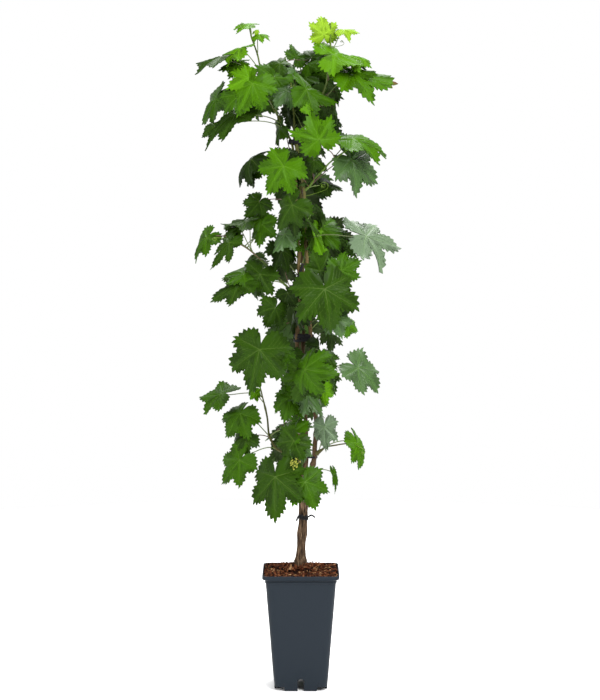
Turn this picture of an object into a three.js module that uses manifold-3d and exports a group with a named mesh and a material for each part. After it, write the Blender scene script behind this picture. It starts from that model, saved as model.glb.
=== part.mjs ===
// A young grapevine in a tall square nursery pot.
// Millimetres, +Z up, origin at the centre of the pot's underside, front towards -Y.

import * as THREE from 'three';
import { mergeVertices } from 'three/addons/utils/BufferGeometryUtils.js';
import Module from 'manifold-3d';

const wasm = await Module();
wasm.setup();

// ---------------------------------------------------------------- driving dimensions

const POT_HEIGHT = 230;
const POT_RIM_WIDTH = 150;
const POT_RIM_HEIGHT = 8;
const POT_TOP_WIDTH = 138;
const POT_BOTTOM_WIDTH = 103;
const POT_WALL = 1.8;
const RIM_LEDGE = 1.6;
const POT_CORNER = 13;
const FLOOR_UNDERSIDE = 25;
const FLOOR_THICKNESS = 2;
const FOOT_WALL = 4;
const FOOT_SPREAD = 63;
const CORNER_LIFT = 7.5;
const NOTCH_WIDTH = 13;
const NOTCH_HEIGHT = 23;
const CUT_PAST = 5;

const GAP = 0.3;
const OVERLAP = 0.01;
const SUBSTRATE_EDGE = 226;
const MOUND_HEIGHT = 8;
const MOUND_RADIUS = 62;
const MOUND_DEPTH_SHARE = 0.62;

const TRUNK_PLACE = new THREE.Vector3(-1, 24, 0);
const TRUNK_BASE_RADIUS = 11.5;
const TRUNK_RADIUS = 7.6;
const TRUNK_TOP_RADIUS = 6.9;
const TRUNK_FLARE_HEIGHT = 0.16;
const FORK_HEIGHT = 386;
const TRUNK_SIDES = 12;
const TRUNK_STEPS = 11;

const CANE_SIDES = 7;
const SHOOT_SIDES = 5;
const PLANT_TOP = 1300;

// How much larger a piece is made when it is used to cut its neighbour back.
const CLEARANCE = 0.4;
const PAD_BANDS = 4;
const PAD_SEGMENTS = 20;
const PAD_LOBES = 5;
const PAD_LOBE_DEPTH = 0.13;
const PAD_DISH = 0.16;

// ---------------------------------------------------------------- solids and booleans

function solidOf(geometry) {
  const bare = geometry.clone();
  bare.deleteAttribute('normal');
  bare.deleteAttribute('uv');
  const merged = mergeVertices(bare, 1e-4);
  return new wasm.Manifold(new wasm.Mesh({
    numProp: 3,
    vertProperties: new Float32Array(merged.attributes.position.array),
    triVerts: new Uint32Array(merged.index.array),
  }));
}

function geometryOf(solid) {
  const { vertProperties, triVerts } = solid.getMesh();
  const geometry = new THREE.BufferGeometry();
  geometry.setAttribute('position', new THREE.BufferAttribute(vertProperties, 3));
  geometry.setIndex(new THREE.BufferAttribute(triVerts, 1));
  geometry.computeVertexNormals();
  return geometry;
}

// A cut can leave small chips behind, and only the main body is the piece.
function mainBody(solid) {
  const bodies = solid.decompose();
  return bodies.reduce((best, body) => (body.volume() > best.volume() ? body : best));
}

// ---------------------------------------------------------------- shapes

// A square tower with rounded corners that narrows evenly from one end to the other.
function squareTower({ bottomWidth, topWidth, from, to, corner = POT_CORNER }) {
  const half = topWidth / 2;
  const reach = half - corner;
  const outline = new THREE.Shape();
  outline.moveTo(-reach, -half);
  outline.lineTo(reach, -half);
  outline.absarc(reach, -reach, corner, -Math.PI / 2, 0, false);
  outline.lineTo(half, reach);
  outline.absarc(reach, reach, corner, 0, Math.PI / 2, false);
  outline.lineTo(-reach, half);
  outline.absarc(-reach, reach, corner, Math.PI / 2, Math.PI, false);
  outline.lineTo(-half, -reach);
  outline.absarc(-reach, -reach, corner, Math.PI, Math.PI * 1.5, false);
  const tower = new THREE.ExtrudeGeometry(outline, { depth: to - from, bevelEnabled: false, curveSegments: 4 });
  const place = tower.attributes.position;
  for (let i = 0; i < place.count; i += 1) {
    const rise = place.getZ(i) / (to - from);
    const scale = THREE.MathUtils.lerp(bottomWidth / topWidth, 1, rise);
    place.setXYZ(i, place.getX(i) * scale, place.getY(i) * scale, from + place.getZ(i));
  }
  return solidOf(tower);
}

function block(width, depth, from, to, x = 0, y = 0) {
  const box = new THREE.BoxGeometry(width, depth, to - from);
  box.translate(x, y, (from + to) / 2);
  return solidOf(box);
}

// An upright slot with a round head, running right through along the axis given.
function archedSlot(width, height, length, alongX) {
  const arch = new THREE.Shape();
  const shoulder = height - width / 2;
  arch.moveTo(-width / 2, -1);
  arch.lineTo(width / 2, -1);
  arch.lineTo(width / 2, shoulder);
  arch.absarc(0, shoulder, width / 2, 0, Math.PI, false);
  const slot = new THREE.ExtrudeGeometry(arch, { depth: length, bevelEnabled: false, curveSegments: 8 });
  slot.translate(0, 0, -length / 2);
  slot.rotateX(Math.PI / 2);
  if (alongX) slot.rotateZ(Math.PI / 2);
  return solidOf(slot);
}

// A limb: a cylinder bent along a smooth curve through its points. Its radius is a function of
// the way along, from 0 at the base to 1 at the tip, and a level base is cut flat.
function limb({ route, radius, sides, steps, level = false, grow = 0 }) {
  const curve = new THREE.CatmullRomCurve3(route, false, 'centripetal');
  const frames = curve.computeFrenetFrames(steps, false);
  const tube = new THREE.CylinderGeometry(1, 1, 1, sides, steps);
  const place = tube.attributes.position;
  for (let i = 0; i < place.count; i += 1) {
    const ring = Math.round((place.getY(i) + 0.5) * steps);
    const along = ring / steps;
    const size = radius(along) + grow;
    const offset = new THREE.Vector3()
      .addScaledVector(frames.binormals[ring], place.getX(i) * size)
      .addScaledVector(frames.normals[ring], place.getZ(i) * size);
    if (level && ring === 0) offset.z = -grow;
    offset.add(curve.getPointAt(along));
    place.setXYZ(i, offset.x, offset.y, offset.z);
  }
  return solidOf(tube);
}

// A mass of leaves: a thin, uneven, lobed pad. It faces the bearing given in plan, tips up by
// lift, hangs downhill along its length, and its edges fall back from its middle.
function leafPad({ at, across, along, thick, bearing, lift, roll }, index, grow = 0) {
  const pad = new THREE.SphereGeometry(1, PAD_SEGMENTS, PAD_BANDS);
  const place = pad.attributes.position;
  const turn = THREE.MathUtils.degToRad(bearing);
  const tip = THREE.MathUtils.degToRad(lift);
  const normal = new THREE.Vector3(Math.cos(tip) * Math.cos(turn), Math.cos(tip) * Math.sin(turn), Math.sin(tip));
  const downhill = new THREE.Vector3(Math.sin(tip) * Math.cos(turn), Math.sin(tip) * Math.sin(turn), -Math.cos(tip));
  downhill.applyAxisAngle(normal, THREE.MathUtils.degToRad(roll));
  const sideways = new THREE.Vector3().crossVectors(downhill, normal);
  const phase = index * 2.4;
  for (let i = 0; i < place.count; i += 1) {
    const spread = Math.min(1, Math.hypot(place.getX(i), place.getZ(i)));
    const angle = spread > 1e-6 ? Math.atan2(place.getZ(i), place.getX(i)) : 0;
    const lobes = PAD_LOBE_DEPTH * Math.cos(PAD_LOBES * angle);
    const uneven = 0.05 * Math.sin(2 * angle + phase) + 0.04 * Math.sin(3 * angle - 1.7 * phase);
    const reach = spread * (1 - PAD_LOBE_DEPTH + lobes * spread + uneven * spread);
    const lump = 1 + 0.22 * Math.sin(2 * angle + phase) * spread;
    const height = place.getY(i) * lump * (thick / 2 + grow) - PAD_DISH * spread * spread * thick;
    const point = new THREE.Vector3()
      .addScaledVector(downhill, Math.cos(angle) * reach * (along / 2 + grow))
      .addScaledVector(sideways, Math.sin(angle) * reach * (across / 2 + grow))
      .addScaledVector(normal, height);
    place.setXYZ(i, at[0] + point.x, at[1] + point.y, at[2] + point.z);
  }
  return solidOf(pad);
}

// ---------------------------------------------------------------- pot and substrate

// Width of the pot's outside at a height below the rim.
function potWidthAt(height) {
  const rise = height / (POT_HEIGHT - POT_RIM_HEIGHT);
  return THREE.MathUtils.lerp(POT_BOTTOM_WIDTH, POT_TOP_WIDTH, rise);
}

function makePot() {
  const shoulder = POT_HEIGHT - POT_RIM_HEIGHT;
  const floorTop = FLOOR_UNDERSIDE + FLOOR_THICKNESS;
  const above = POT_HEIGHT + 1;
  let pot = squareTower({ bottomWidth: potWidthAt(0), topWidth: potWidthAt(shoulder), from: 0, to: shoulder });
  pot = pot.add(squareTower({
    bottomWidth: POT_RIM_WIDTH, topWidth: POT_RIM_WIDTH, from: shoulder - OVERLAP, to: POT_HEIGHT, corner: POT_CORNER + 2,
  }));
  pot = pot.subtract(squareTower({
    bottomWidth: potWidthAt(floorTop) - 2 * POT_WALL, topWidth: potWidthAt(above) - 2 * POT_WALL,
    from: floorTop, to: above,
  }));
  const mouth = POT_RIM_WIDTH - 2 * POT_WALL;
  pot = pot.subtract(squareTower({
    bottomWidth: mouth, topWidth: mouth, from: shoulder + RIM_LEDGE, to: above,
  }));
  pot = pot.subtract(squareTower({
    bottomWidth: potWidthAt(-1) - 2 * FOOT_WALL, topWidth: potWidthAt(FLOOR_UNDERSIDE) - 2 * FOOT_WALL,
    from: -1, to: FLOOR_UNDERSIDE,
  }));
  const corner = (POT_BOTTOM_WIDTH - FOOT_SPREAD) / 2 + CUT_PAST;
  const centre = FOOT_SPREAD / 2 + corner / 2;
  for (const x of [-centre, centre]) {
    for (const y of [-centre, centre]) {
      pot = pot.subtract(block(corner, corner, -1, CORNER_LIFT, x, y));
    }
  }
  for (const alongX of [false, true]) {
    pot = pot.subtract(archedSlot(NOTCH_WIDTH, NOTCH_HEIGHT, POT_RIM_WIDTH, alongX));
  }
  return pot;
}

function makeSubstrate() {
  const floor = FLOOR_UNDERSIDE + FLOOR_THICKNESS + GAP;
  const inset = 2 * (POT_WALL + GAP + 0.1);
  const shoulder = POT_HEIGHT - POT_RIM_HEIGHT;
  const mouth = POT_RIM_WIDTH - inset;
  const body = squareTower({
    bottomWidth: potWidthAt(floor) - inset, topWidth: potWidthAt(shoulder) - inset,
    from: floor, to: shoulder + RIM_LEDGE + GAP,
  }).add(squareTower({
    bottomWidth: mouth, topWidth: mouth, from: shoulder + RIM_LEDGE + GAP - OVERLAP, to: SUBSTRATE_EDGE,
  }));
  const mound = new THREE.SphereGeometry(1, 16, 8);
  mound.rotateX(Math.PI / 2);
  mound.scale(MOUND_RADIUS, MOUND_RADIUS * MOUND_DEPTH_SHARE, MOUND_HEIGHT);
  mound.translate(TRUNK_PLACE.x, TRUNK_PLACE.y, SUBSTRATE_EDGE);
  return body.add(solidOf(mound));
}

// ---------------------------------------------------------------- trunk, canes and side shoots

function points(rows) {
  return rows.map(([x, y, z]) => new THREE.Vector3(x, y, z));
}

const trunkFoot = SUBSTRATE_EDGE + MOUND_HEIGHT + GAP;

const TRUNK = {
  route: points([[-1, 24, trunkFoot], [0, 24, 262], [3, 23, 300], [5, 20, 345], [6, 17, FORK_HEIGHT]]),
  radius: (along) => {
    const flare = Math.max(0, 1 - along / TRUNK_FLARE_HEIGHT);
    const knuckle = 0.5 * Math.sin(along * 17);
    const fork = 1.3 * Math.max(0, (along - 0.8) / 0.2);
    const stem = THREE.MathUtils.lerp(TRUNK_RADIUS, TRUNK_TOP_RADIUS, along) + knuckle + fork;
    return stem + (TRUNK_BASE_RADIUS - TRUNK_RADIUS) * flare * flare;
  },
  sides: TRUNK_SIDES,
  steps: TRUNK_STEPS,
  level: true,
};

// A cane narrows evenly from its base to its tip.
function taper(base, tip) {
  return (along) => THREE.MathUtils.lerp(base, tip, along);
}

const CANES = {
  cane_left: {
    route: points([
      [3, 17, FORK_HEIGHT + 2], [-4, 10, 440], [-6, 3, 540], [-8, -3, 650], [-3, -4, 770], [-6, -3, 900],
      [-12, 0, 1010], [-19, 1, 1068], [-36, 2, 1100], [-58, 3, 1145], [-74, 2, 1196], [-86, -1, 1240],
      [-99, -5, 1284],
    ]),
    radius: taper(5.2, 1.3),
    steps: 24,
  },
  cane_middle: {
    route: points([
      [7, 18, FORK_HEIGHT + 2], [10, 17, 440], [9, 14, 540], [5, 11, 660], [3, 10, 780], [4, 10, 900],
      [-3, 9, 1010], [-12, 8, 1068], [-14, 10, 1120], [-20, 16, 1180], [-32, 22, 1232],
    ]),
    radius: taper(4.6, 1.4),
    steps: 20,
  },
  cane_right: {
    route: points([
      [11, 17, FORK_HEIGHT + 2], [24, 10, 440], [30, 2, 505], [27, -3, 585], [20, -5, 675], [12, -6, 780],
      [10, -6, 900], [3, -7, 1000], [-7, -8, 1060], [5, -9, 1092], [22, -10, 1125], [42, -12, 1160],
      [56, -12, 1200], [58, -11, 1250], [56, -12, PLANT_TOP - 6],
    ]),
    radius: taper(5.0, 1.3),
    steps: 26,
  },
};

const SHOOTS = {
  shoot_low_left: {
    route: points([[-7, 8, 455], [-50, 0, 470], [-64, -8, 514], [-70, -12, 556], [-84, -14, 602]]),
    radius: taper(2.6, 1.2),
    steps: 8,
  },
  shoot_low_right: {
    route: points([[26, 8, 452], [44, -2, 470], [72, -10, 478], [98, -16, 482]]),
    radius: taper(2.0, 1.1),
    steps: 6,
  },
  shoot_mid_left: {
    route: points([[-5, -4, 764], [-32, -12, 792], [-72, -18, 834], [-104, -20, 862], [-136, -22, 880]]),
    radius: taper(2.2, 1.2),
    steps: 8,
  },
  shoot_upper_right: {
    route: points([[8, -6, 972], [42, -10, 1012], [70, -12, 1038], [94, -14, 1052]]),
    radius: taper(2.2, 1.2),
    steps: 6,
  },
};

// ---------------------------------------------------------------- masses of leaves

// Each row: name, middle [x, y, z], across, along, thick, bearing, lift, roll.
// Bearing is the way the leaves face in plan: 0 is +X, -90 is the front, 90 is the back.
const MASSES = [
  ['leaves_tip_left', [-98, -10, 1276], 72, 46, 13, -100, 35, 20],
  ['leaves_tip_right', [46, -14, 1289], 68, 52, 14, -78, 15, 0],
  ['leaves_top_left', [-148, -12, 1224], 112, 84, 16, -125, 58, -10],
  ['leaves_top_right', [76, -36, 1226], 104, 84, 17, -78, 58, 0],
  ['leaves_crown_left', [-44, -18, 1200], 68, 92, 18, -98, 20, 0],
  ['leaves_crown_middle', [6, 30, 1225], 72, 72, 18, -84, 25, 0],
  ['leaves_upper_left', [-106, -60, 1165], 70, 90, 17, -108, 22, 0],
  ['leaves_outer_left', [-161, 30, 1154], 62, 78, 15, -155, 20, 0],
  ['leaves_long_left', [-130, -20, 1098], 140, 92, 16, -112, 40, 22],
  ['leaves_upper_right', [122, -26, 1186], 112, 76, 16, -66, 50, 0],
  ['leaves_inner_right', [26, -76, 1158], 78, 68, 17, -84, 20, 0],
  ['leaves_inner_left', [-30, -42, 1130], 58, 98, 17, -98, 18, 0],
  ['leaves_neck_right', [46, -104, 1092], 76, 72, 17, -76, 22, 0],
  ['leaves_shoulder_right', [122, 12, 1060], 108, 76, 16, -52, 48, 0],
  ['leaves_left_high', [-90, 26, 1018], 82, 78, 16, -142, 22, 0],
  ['leaves_left_bright', [-44, -108, 995], 74, 82, 17, -98, 22, 0],
  ['leaves_middle_high', [18, -44, 1016], 56, 88, 17, -84, 22, 0],
  ['leaves_right_high', [104, 24, 998], 96, 84, 16, -48, 34, 0],
  ['leaves_middle_left', [-30, -122, 925], 68, 76, 17, -98, 22, 0],
  ['leaves_middle_right', [28, -40, 922], 60, 56, 16, -80, 25, 0],
  ['leaves_far_left', [-194, 12, 871], 54, 76, 13, -146, 22, 0],
  ['leaves_left_lobed', [-154, -44, 858], 50, 84, 15, -122, 22, 0],
  ['leaves_left_inner', [-84, -20, 910], 88, 90, 16, -116, 22, 0],
  ['leaves_heart_left', [-32, -84, 856], 56, 88, 17, -98, 20, 0],
  ['leaves_heart_right', [62, 8, 880], 92, 74, 16, -62, 28, 0],
  ['leaves_far_right', [143, -8, 882], 120, 92, 16, -56, 34, 0],
  ['leaves_broad_right', [52, -140, 788], 118, 154, 19, -84, 16, 0],
  ['leaves_spread_left', [-114, -30, 794], 110, 98, 16, -118, 24, 0],
  ['leaves_waist', [-26, -50, 744], 98, 88, 17, -94, 20, 0],
  ['leaves_broad_left', [-71, -116, 663], 140, 118, 18, -98, 20, 0],
  ['leaves_broad_middle', [32, -132, 630], 92, 102, 17, -84, 20, 0],
  ['leaves_low_right', [113, -30, 625], 82, 90, 15, -60, 24, 0],
  ['leaves_hip', [10, -54, 570], 96, 76, 17, -90, 20, 0],
  ['leaves_skirt_outer', [-165, 6, 573], 62, 54, 13, -140, 32, 0],
  ['leaves_skirt_left', [-110, -22, 538], 92, 70, 15, -120, 24, 0],
  ['leaves_skirt_low', [-120, -30, 458], 72, 98, 15, -122, 22, 0],
  ['leaves_skirt_middle', [-8, -100, 502], 88, 94, 17, -92, 18, 0],
  ['leaves_skirt_inner', [56, -24, 508], 46, 68, 14, -72, 20, 0],
  ['leaves_skirt_right', [114, -18, 477], 46, 78, 13, -50, 22, 0],
  ['leaves_foot_left', [-52, -104, 403], 92, 116, 17, -104, 18, 0],
  ['leaves_foot_right', [16, -108, 408], 62, 76, 16, -80, 18, 0],
  ['leaves_back_crown', [16, 80, 1190], 112, 100, 18, 80, 36, 0],
  ['leaves_back_left', [-84, 74, 1160], 96, 92, 17, 140, 28, 0],
  ['leaves_back_neck', [28, 112, 1100], 92, 104, 18, 68, 28, 0],
  ['leaves_back_high', [-4, 122, 990], 104, 108, 18, 104, 28, 0],
  ['leaves_back_heart', [56, 92, 886], 108, 100, 18, 44, 26, 0],
  ['leaves_back_waist', [-108, 84, 806], 96, 96, 18, 134, 26, 0],
  ['leaves_back_hip', [-18, 132, 704], 108, 112, 18, 92, 24, 0],
  ['leaves_back_skirt', [22, 98, 604], 108, 108, 18, 78, 24, 0],
  ['leaves_back_foot', [-14, 84, 478], 98, 108, 18, 96, 22, 0],
].map(([name, at, across, along, thick, bearing, lift, roll]) => (
  { name, at, across, along, thick, bearing, lift, roll }
));

// ---------------------------------------------------------------- assembly

const materials = {
  pot: new THREE.MeshStandardMaterial({ color: '#39414b', roughness: 0.55, metalness: 0 }),
  substrate: new THREE.MeshStandardMaterial({ color: '#5d2f1d', roughness: 0.95, metalness: 0 }),
  bark: new THREE.MeshStandardMaterial({ color: '#65533f', roughness: 0.9, metalness: 0 }),
  cane: new THREE.MeshStandardMaterial({ color: '#7a5a38', roughness: 0.75, metalness: 0 }),
  shoot: new THREE.MeshStandardMaterial({ color: '#6f8a3a', roughness: 0.6, metalness: 0 }),
  foliage: new THREE.MeshStandardMaterial({ color: '#3c7a22', roughness: 0.6, metalness: 0 }),
};

const vine = new THREE.Group();

function addPiece(name, solid, material) {
  const mesh = new THREE.Mesh(geometryOf(solid), material.clone());
  mesh.name = name;
  vine.add(mesh);
}

// Cuts a piece back from everything that already stands where it would be.
function cutClear(solid, cutters) {
  const box = solid.boundingBox();
  let clear = solid;
  for (const cutter of cutters) {
    const other = cutter.boundingBox();
    const apart = [0, 1, 2].some((axis) => box.min[axis] > other.max[axis] || box.max[axis] < other.min[axis]);
    if (!apart) clear = clear.subtract(cutter);
  }
  return mainBody(clear);
}

addPiece('pot', makePot(), materials.pot);
addPiece('substrate', makeSubstrate(), materials.substrate);
addPiece('trunk', limb(TRUNK), materials.bark);

const cutters = [limb({ ...TRUNK, grow: CLEARANCE })];
const groups = [
  [CANES, CANE_SIDES, materials.cane],
  [SHOOTS, SHOOT_SIDES, materials.shoot],
];
for (const [limbs, sides, material] of groups) {
  for (const [name, shape] of Object.entries(limbs)) {
    addPiece(name, cutClear(limb({ ...shape, sides }), cutters), material);
    cutters.push(limb({ ...shape, sides, grow: CLEARANCE }));
  }
}

MASSES.forEach((mass, index) => {
  addPiece(mass.name, cutClear(leafPad(mass, index), cutters), materials.foliage);
  cutters.push(leafPad(mass, index, CLEARANCE));
});

export default vine;
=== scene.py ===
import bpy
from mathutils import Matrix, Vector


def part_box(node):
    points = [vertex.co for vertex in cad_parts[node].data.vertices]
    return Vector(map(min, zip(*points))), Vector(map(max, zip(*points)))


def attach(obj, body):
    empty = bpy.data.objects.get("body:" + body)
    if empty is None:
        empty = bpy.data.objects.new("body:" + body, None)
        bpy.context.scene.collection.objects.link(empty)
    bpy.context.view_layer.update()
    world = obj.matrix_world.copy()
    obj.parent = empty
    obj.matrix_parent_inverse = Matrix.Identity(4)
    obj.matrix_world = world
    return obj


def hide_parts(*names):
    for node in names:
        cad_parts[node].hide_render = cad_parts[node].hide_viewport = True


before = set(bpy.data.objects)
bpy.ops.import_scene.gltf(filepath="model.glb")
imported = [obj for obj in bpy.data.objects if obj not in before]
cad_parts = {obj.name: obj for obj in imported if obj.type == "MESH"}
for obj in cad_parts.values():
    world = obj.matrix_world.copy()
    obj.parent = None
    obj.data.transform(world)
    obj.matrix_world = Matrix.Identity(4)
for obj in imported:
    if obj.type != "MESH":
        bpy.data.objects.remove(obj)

import math

import bmesh
import bpy
import numpy as np
from mathutils import Vector, noise

bl_info = {
    "name": "Potted grapevine",
    "version": (1, 0, 0),
    "blender": (4, 5, 0),
    "location": "3D View > Sidebar > Grapevine",
    "description": "Pot, bark, canes, leaves and stage for a young grapevine in a tall square pot",
    "category": "Add Mesh",
}

MM = 0.001
UP = np.array([0.0, 0.0, 1.0])
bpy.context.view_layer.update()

CANES = ("cane_left", "cane_middle", "cane_right")
SHOOTS = ("shoot_low_left", "shoot_low_right", "shoot_mid_left", "shoot_upper_right")


# ---------------------------------------------------------------- colours and materials


def shade(red, green, blue):
    """A screen colour from 0 to 255 as the linear colour that Blender works in."""
    parts = np.array([red, green, blue]) / 255.0
    linear = np.where(parts <= 0.04045, parts / 12.92, ((parts + 0.055) / 1.055) ** 2.4)
    return tuple(float(part) for part in linear)


def scaled(colour, factor):
    """The same colour, lighter or darker."""
    return tuple(min(1.0, part * factor) for part in colour[:3])


def mixed(first, second, share):
    """A colour between two, where share is how much of the second."""
    return tuple(a * (1 - share) + b * share for a, b in zip(first[:3], second[:3]))


def plain_material(name, colour, roughness, specular=0.5):
    """A material with one plain base colour and nothing linked to it."""
    material = bpy.data.materials.new(name)
    material.use_nodes = True
    surface = material.node_tree.nodes["Principled BSDF"]
    surface.inputs["Base Color"].default_value = (*colour[:3], 1.0)
    surface.inputs["Roughness"].default_value = roughness
    surface.inputs["Specular IOR Level"].default_value = specular
    return material


def grained_material(name, colours, scale, roughness, relief, stretch=(1, 1, 1), detail=6.0, specular=0.12):
    """A material whose colour and fine relief follow noise through the object."""
    material = plain_material(name, colours[0], roughness, specular)
    nodes = material.node_tree.nodes
    links = material.node_tree.links
    surface = nodes["Principled BSDF"]
    place = nodes.new("ShaderNodeTexCoord")
    mapping = nodes.new("ShaderNodeMapping")
    mapping.inputs["Scale"].default_value = stretch
    links.new(place.outputs["Object"], mapping.inputs["Vector"])
    grain = nodes.new("ShaderNodeTexNoise")
    grain.inputs["Scale"].default_value = scale
    grain.inputs["Detail"].default_value = detail
    grain.inputs["Roughness"].default_value = 0.62
    links.new(mapping.outputs["Vector"], grain.inputs["Vector"])
    ramp = nodes.new("ShaderNodeValToRGB")
    ramp.color_ramp.elements[0].position = 0.32
    ramp.color_ramp.elements[1].position = 0.70
    ramp.color_ramp.elements[0].color = (*colours[0][:3], 1.0)
    ramp.color_ramp.elements[1].color = (*colours[-1][:3], 1.0)
    for step, colour in enumerate(colours[1:-1], start=1):
        share = step / (len(colours) - 1)
        stop = ramp.color_ramp.elements.new(0.32 + 0.38 * share)
        stop.color = (*colour[:3], 1.0)
    links.new(grain.outputs["Fac"], ramp.inputs["Fac"])
    links.new(ramp.outputs["Color"], surface.inputs["Base Color"])
    bump = nodes.new("ShaderNodeBump")
    bump.inputs["Strength"].default_value = relief
    bump.inputs["Distance"].default_value = 0.0006
    links.new(grain.outputs["Fac"], bump.inputs["Height"])
    links.new(bump.outputs["Normal"], surface.inputs["Normal"])
    return material


# ---------------------------------------------------------------- meshes


class Heap:
    """Triangles of many small parts, gathered to become one joined piece."""

    def __init__(self):
        self.points = []
        self.faces = []
        self.slots = []
        self.count = 0

    def add(self, points, faces, slots):
        """Adds a part. slots is one material number, or one for each face."""
        points = np.asarray(points, dtype=float)
        faces = np.asarray(faces, dtype=int)
        self.points.append(points)
        self.faces.append(faces + self.count)
        self.slots.append(np.broadcast_to(np.asarray(slots, dtype=int), len(faces)))
        self.count += len(points)

    def build(self, name, materials, smooth=True):
        """Makes the joined piece and links it into the scene."""
        points = np.concatenate(self.points)
        faces = np.concatenate(self.faces)
        slots = np.concatenate(self.slots)
        mesh = bpy.data.meshes.new(name)
        mesh.vertices.add(len(points))
        mesh.vertices.foreach_set("co", points.ravel())
        mesh.loops.add(faces.size)
        mesh.loops.foreach_set("vertex_index", faces.ravel())
        mesh.polygons.add(len(faces))
        mesh.polygons.foreach_set("loop_start", np.arange(0, faces.size, 3))
        for material in materials:
            mesh.materials.append(material)
        mesh.polygons.foreach_set("material_index", slots)
        mesh.polygons.foreach_set("use_smooth", np.full(len(faces), smooth))
        mesh.update(calc_edges=True)
        mesh.validate()
        piece = bpy.data.objects.new(name, mesh)
        bpy.context.scene.collection.objects.link(piece)
        return piece


def grid_faces(rows, columns, closed=False):
    """Triangles of a grid of points, row by row. A closed grid joins its last column to its first."""
    across = columns if closed else columns - 1
    row, column = np.meshgrid(np.arange(rows - 1), np.arange(across), indexing="ij")
    a = (row * columns + column).ravel()
    b = (row * columns + (column + 1) % columns).ravel()
    c = a + columns
    d = b + columns
    return np.concatenate([np.stack([a, b, d], 1), np.stack([a, d, c], 1)])


def unit(vector):
    """The vector at length one."""
    return vector / max(1e-9, np.linalg.norm(vector))


def smooth_path(points, count):
    """Points spaced evenly on a smooth curve through the given ones."""
    points = np.asarray(points, dtype=float)
    padded = np.vstack([2 * points[0] - points[1], points, 2 * points[-1] - points[-2]])
    spans = []
    share = np.linspace(0, 1, 12, endpoint=False)[:, None]
    for i in range(len(points) - 1):
        a, b, c, d = padded[i:i + 4]
        spans.append(0.5 * (2 * b + (c - a) * share + (2 * a - 5 * b + 4 * c - d) * share ** 2
                            + (3 * b - a - 3 * c + d) * share ** 3))
    fine = np.vstack(spans + [points[-1:]])
    run = np.concatenate([[0], np.cumsum(np.linalg.norm(np.diff(fine, axis=0), axis=1))])
    even = np.linspace(0, run[-1], count)
    return np.stack([np.interp(even, run, fine[:, axis]) for axis in range(fine.shape[1])], 1)


def path_frames(path):
    """Two directions across the path at each of its points, turning as little as they can."""
    ahead = np.gradient(path, axis=0)
    ahead /= np.maximum(1e-9, np.linalg.norm(ahead, axis=1))[:, None]
    across = unit(np.cross(ahead[0], UP if abs(ahead[0][2]) < 0.9 else np.array([1.0, 0.0, 0.0])))
    firsts = []
    for direction in ahead:
        across = unit(across - direction * np.dot(across, direction))
        firsts.append(across)
    firsts = np.array(firsts)
    return firsts, np.cross(ahead, firsts)


def tube(path, radii, sides, swell=None):
    """Points and faces of a round tube. swell(ring, angles) gives a change of radius round a ring."""
    first, second = path_frames(path)
    angles = np.linspace(0, 2 * math.pi, sides, endpoint=False)
    radii = np.broadcast_to(np.asarray(radii, dtype=float), len(path))[:, None]
    radii = np.repeat(radii, sides, axis=1)
    if swell is not None:
        radii = radii + swell(np.arange(len(path))[:, None], angles[None, :])
    turn = angles[None, :, None]
    ring = np.cos(turn) * first[:, None, :] + np.sin(turn) * second[:, None, :]
    points = (path[:, None, :] + ring * radii[:, :, None]).reshape(-1, 3)
    faces = grid_faces(len(path), sides, closed=True)
    ends = []
    for start in (0, (len(path) - 1) * sides):
        middle = len(points)
        points = np.vstack([points, path[0 if start == 0 else -1]])
        around = np.arange(sides)
        fan = np.stack([np.full(sides, middle), start + (around + 1) % sides, start + around], 1)
        ends.append(fan if start == 0 else fan[:, ::-1])
    return points, np.vstack([faces] + ends)


# ---------------------------------------------------------------- reading the CAD frame


def cad_points(node):
    """Corners of a CAD node, in metres."""
    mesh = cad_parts[node].data
    points = np.empty(len(mesh.vertices) * 3)
    mesh.vertices.foreach_get("co", points)
    return points.reshape(-1, 3)


def cad_middle(node):
    """Middle of a CAD node's box."""
    low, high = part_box(node)
    return (np.array(low) + np.array(high)) / 2


def cad_facing(node):
    """The way a thin CAD mass faces, taken as the upward one of its two sides."""
    points = cad_points(node)
    spread = np.linalg.svd(points - points.mean(axis=0), full_matrices=False)[2]
    facing = spread[2]
    return facing if facing[2] > 0 else -facing


def centreline(node):
    """Middle and radius of each ring of a CAD limb, from its foot to its tip."""
    points = cad_points(node)
    axis = np.linalg.svd(points - points.mean(axis=0), full_matrices=False)[2][0]
    axis = axis if axis[2] > 0 else -axis
    along = points @ axis
    order = np.argsort(along)
    breaks = np.where(np.diff(along[order]) > 7 * MM)[0] + 1
    rings = [ring for ring in np.split(points[order], breaks) if len(ring) >= 4]
    middles = np.array([ring.mean(axis=0) for ring in rings])
    radii = np.array([np.linalg.norm(ring - ring.mean(axis=0), axis=1).max() for ring in rings])
    return middles, radii


def stem_samples():
    """Points along every cane and shoot, where leaf stalks can start."""
    paths = [smooth_path(np.column_stack(centreline(node)), STEM_STEPS) for node in CANES + SHOOTS]
    return np.vstack(paths)[:, :3]


# ---------------------------------------------------------------- settings


class GrapevinePotSettings(bpy.types.PropertyGroup):
    """Colour and finish of the pot, and the number of chips on the growing mix."""

    colour: bpy.props.FloatVectorProperty(
        name="Pot colour", description="Colour of the moulded pot", subtype="COLOR", size=3,
        min=0, max=1, default=shade(28, 35, 42))
    roughness: bpy.props.FloatProperty(
        name="Pot roughness", description="Satin at 0.4, matte at 0.7", min=0.05, max=1, default=0.42)
    chips: bpy.props.IntProperty(
        name="Bark chips", description="How many chips lie on the growing mix",
        min=0, max=4000, default=1500)


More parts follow.
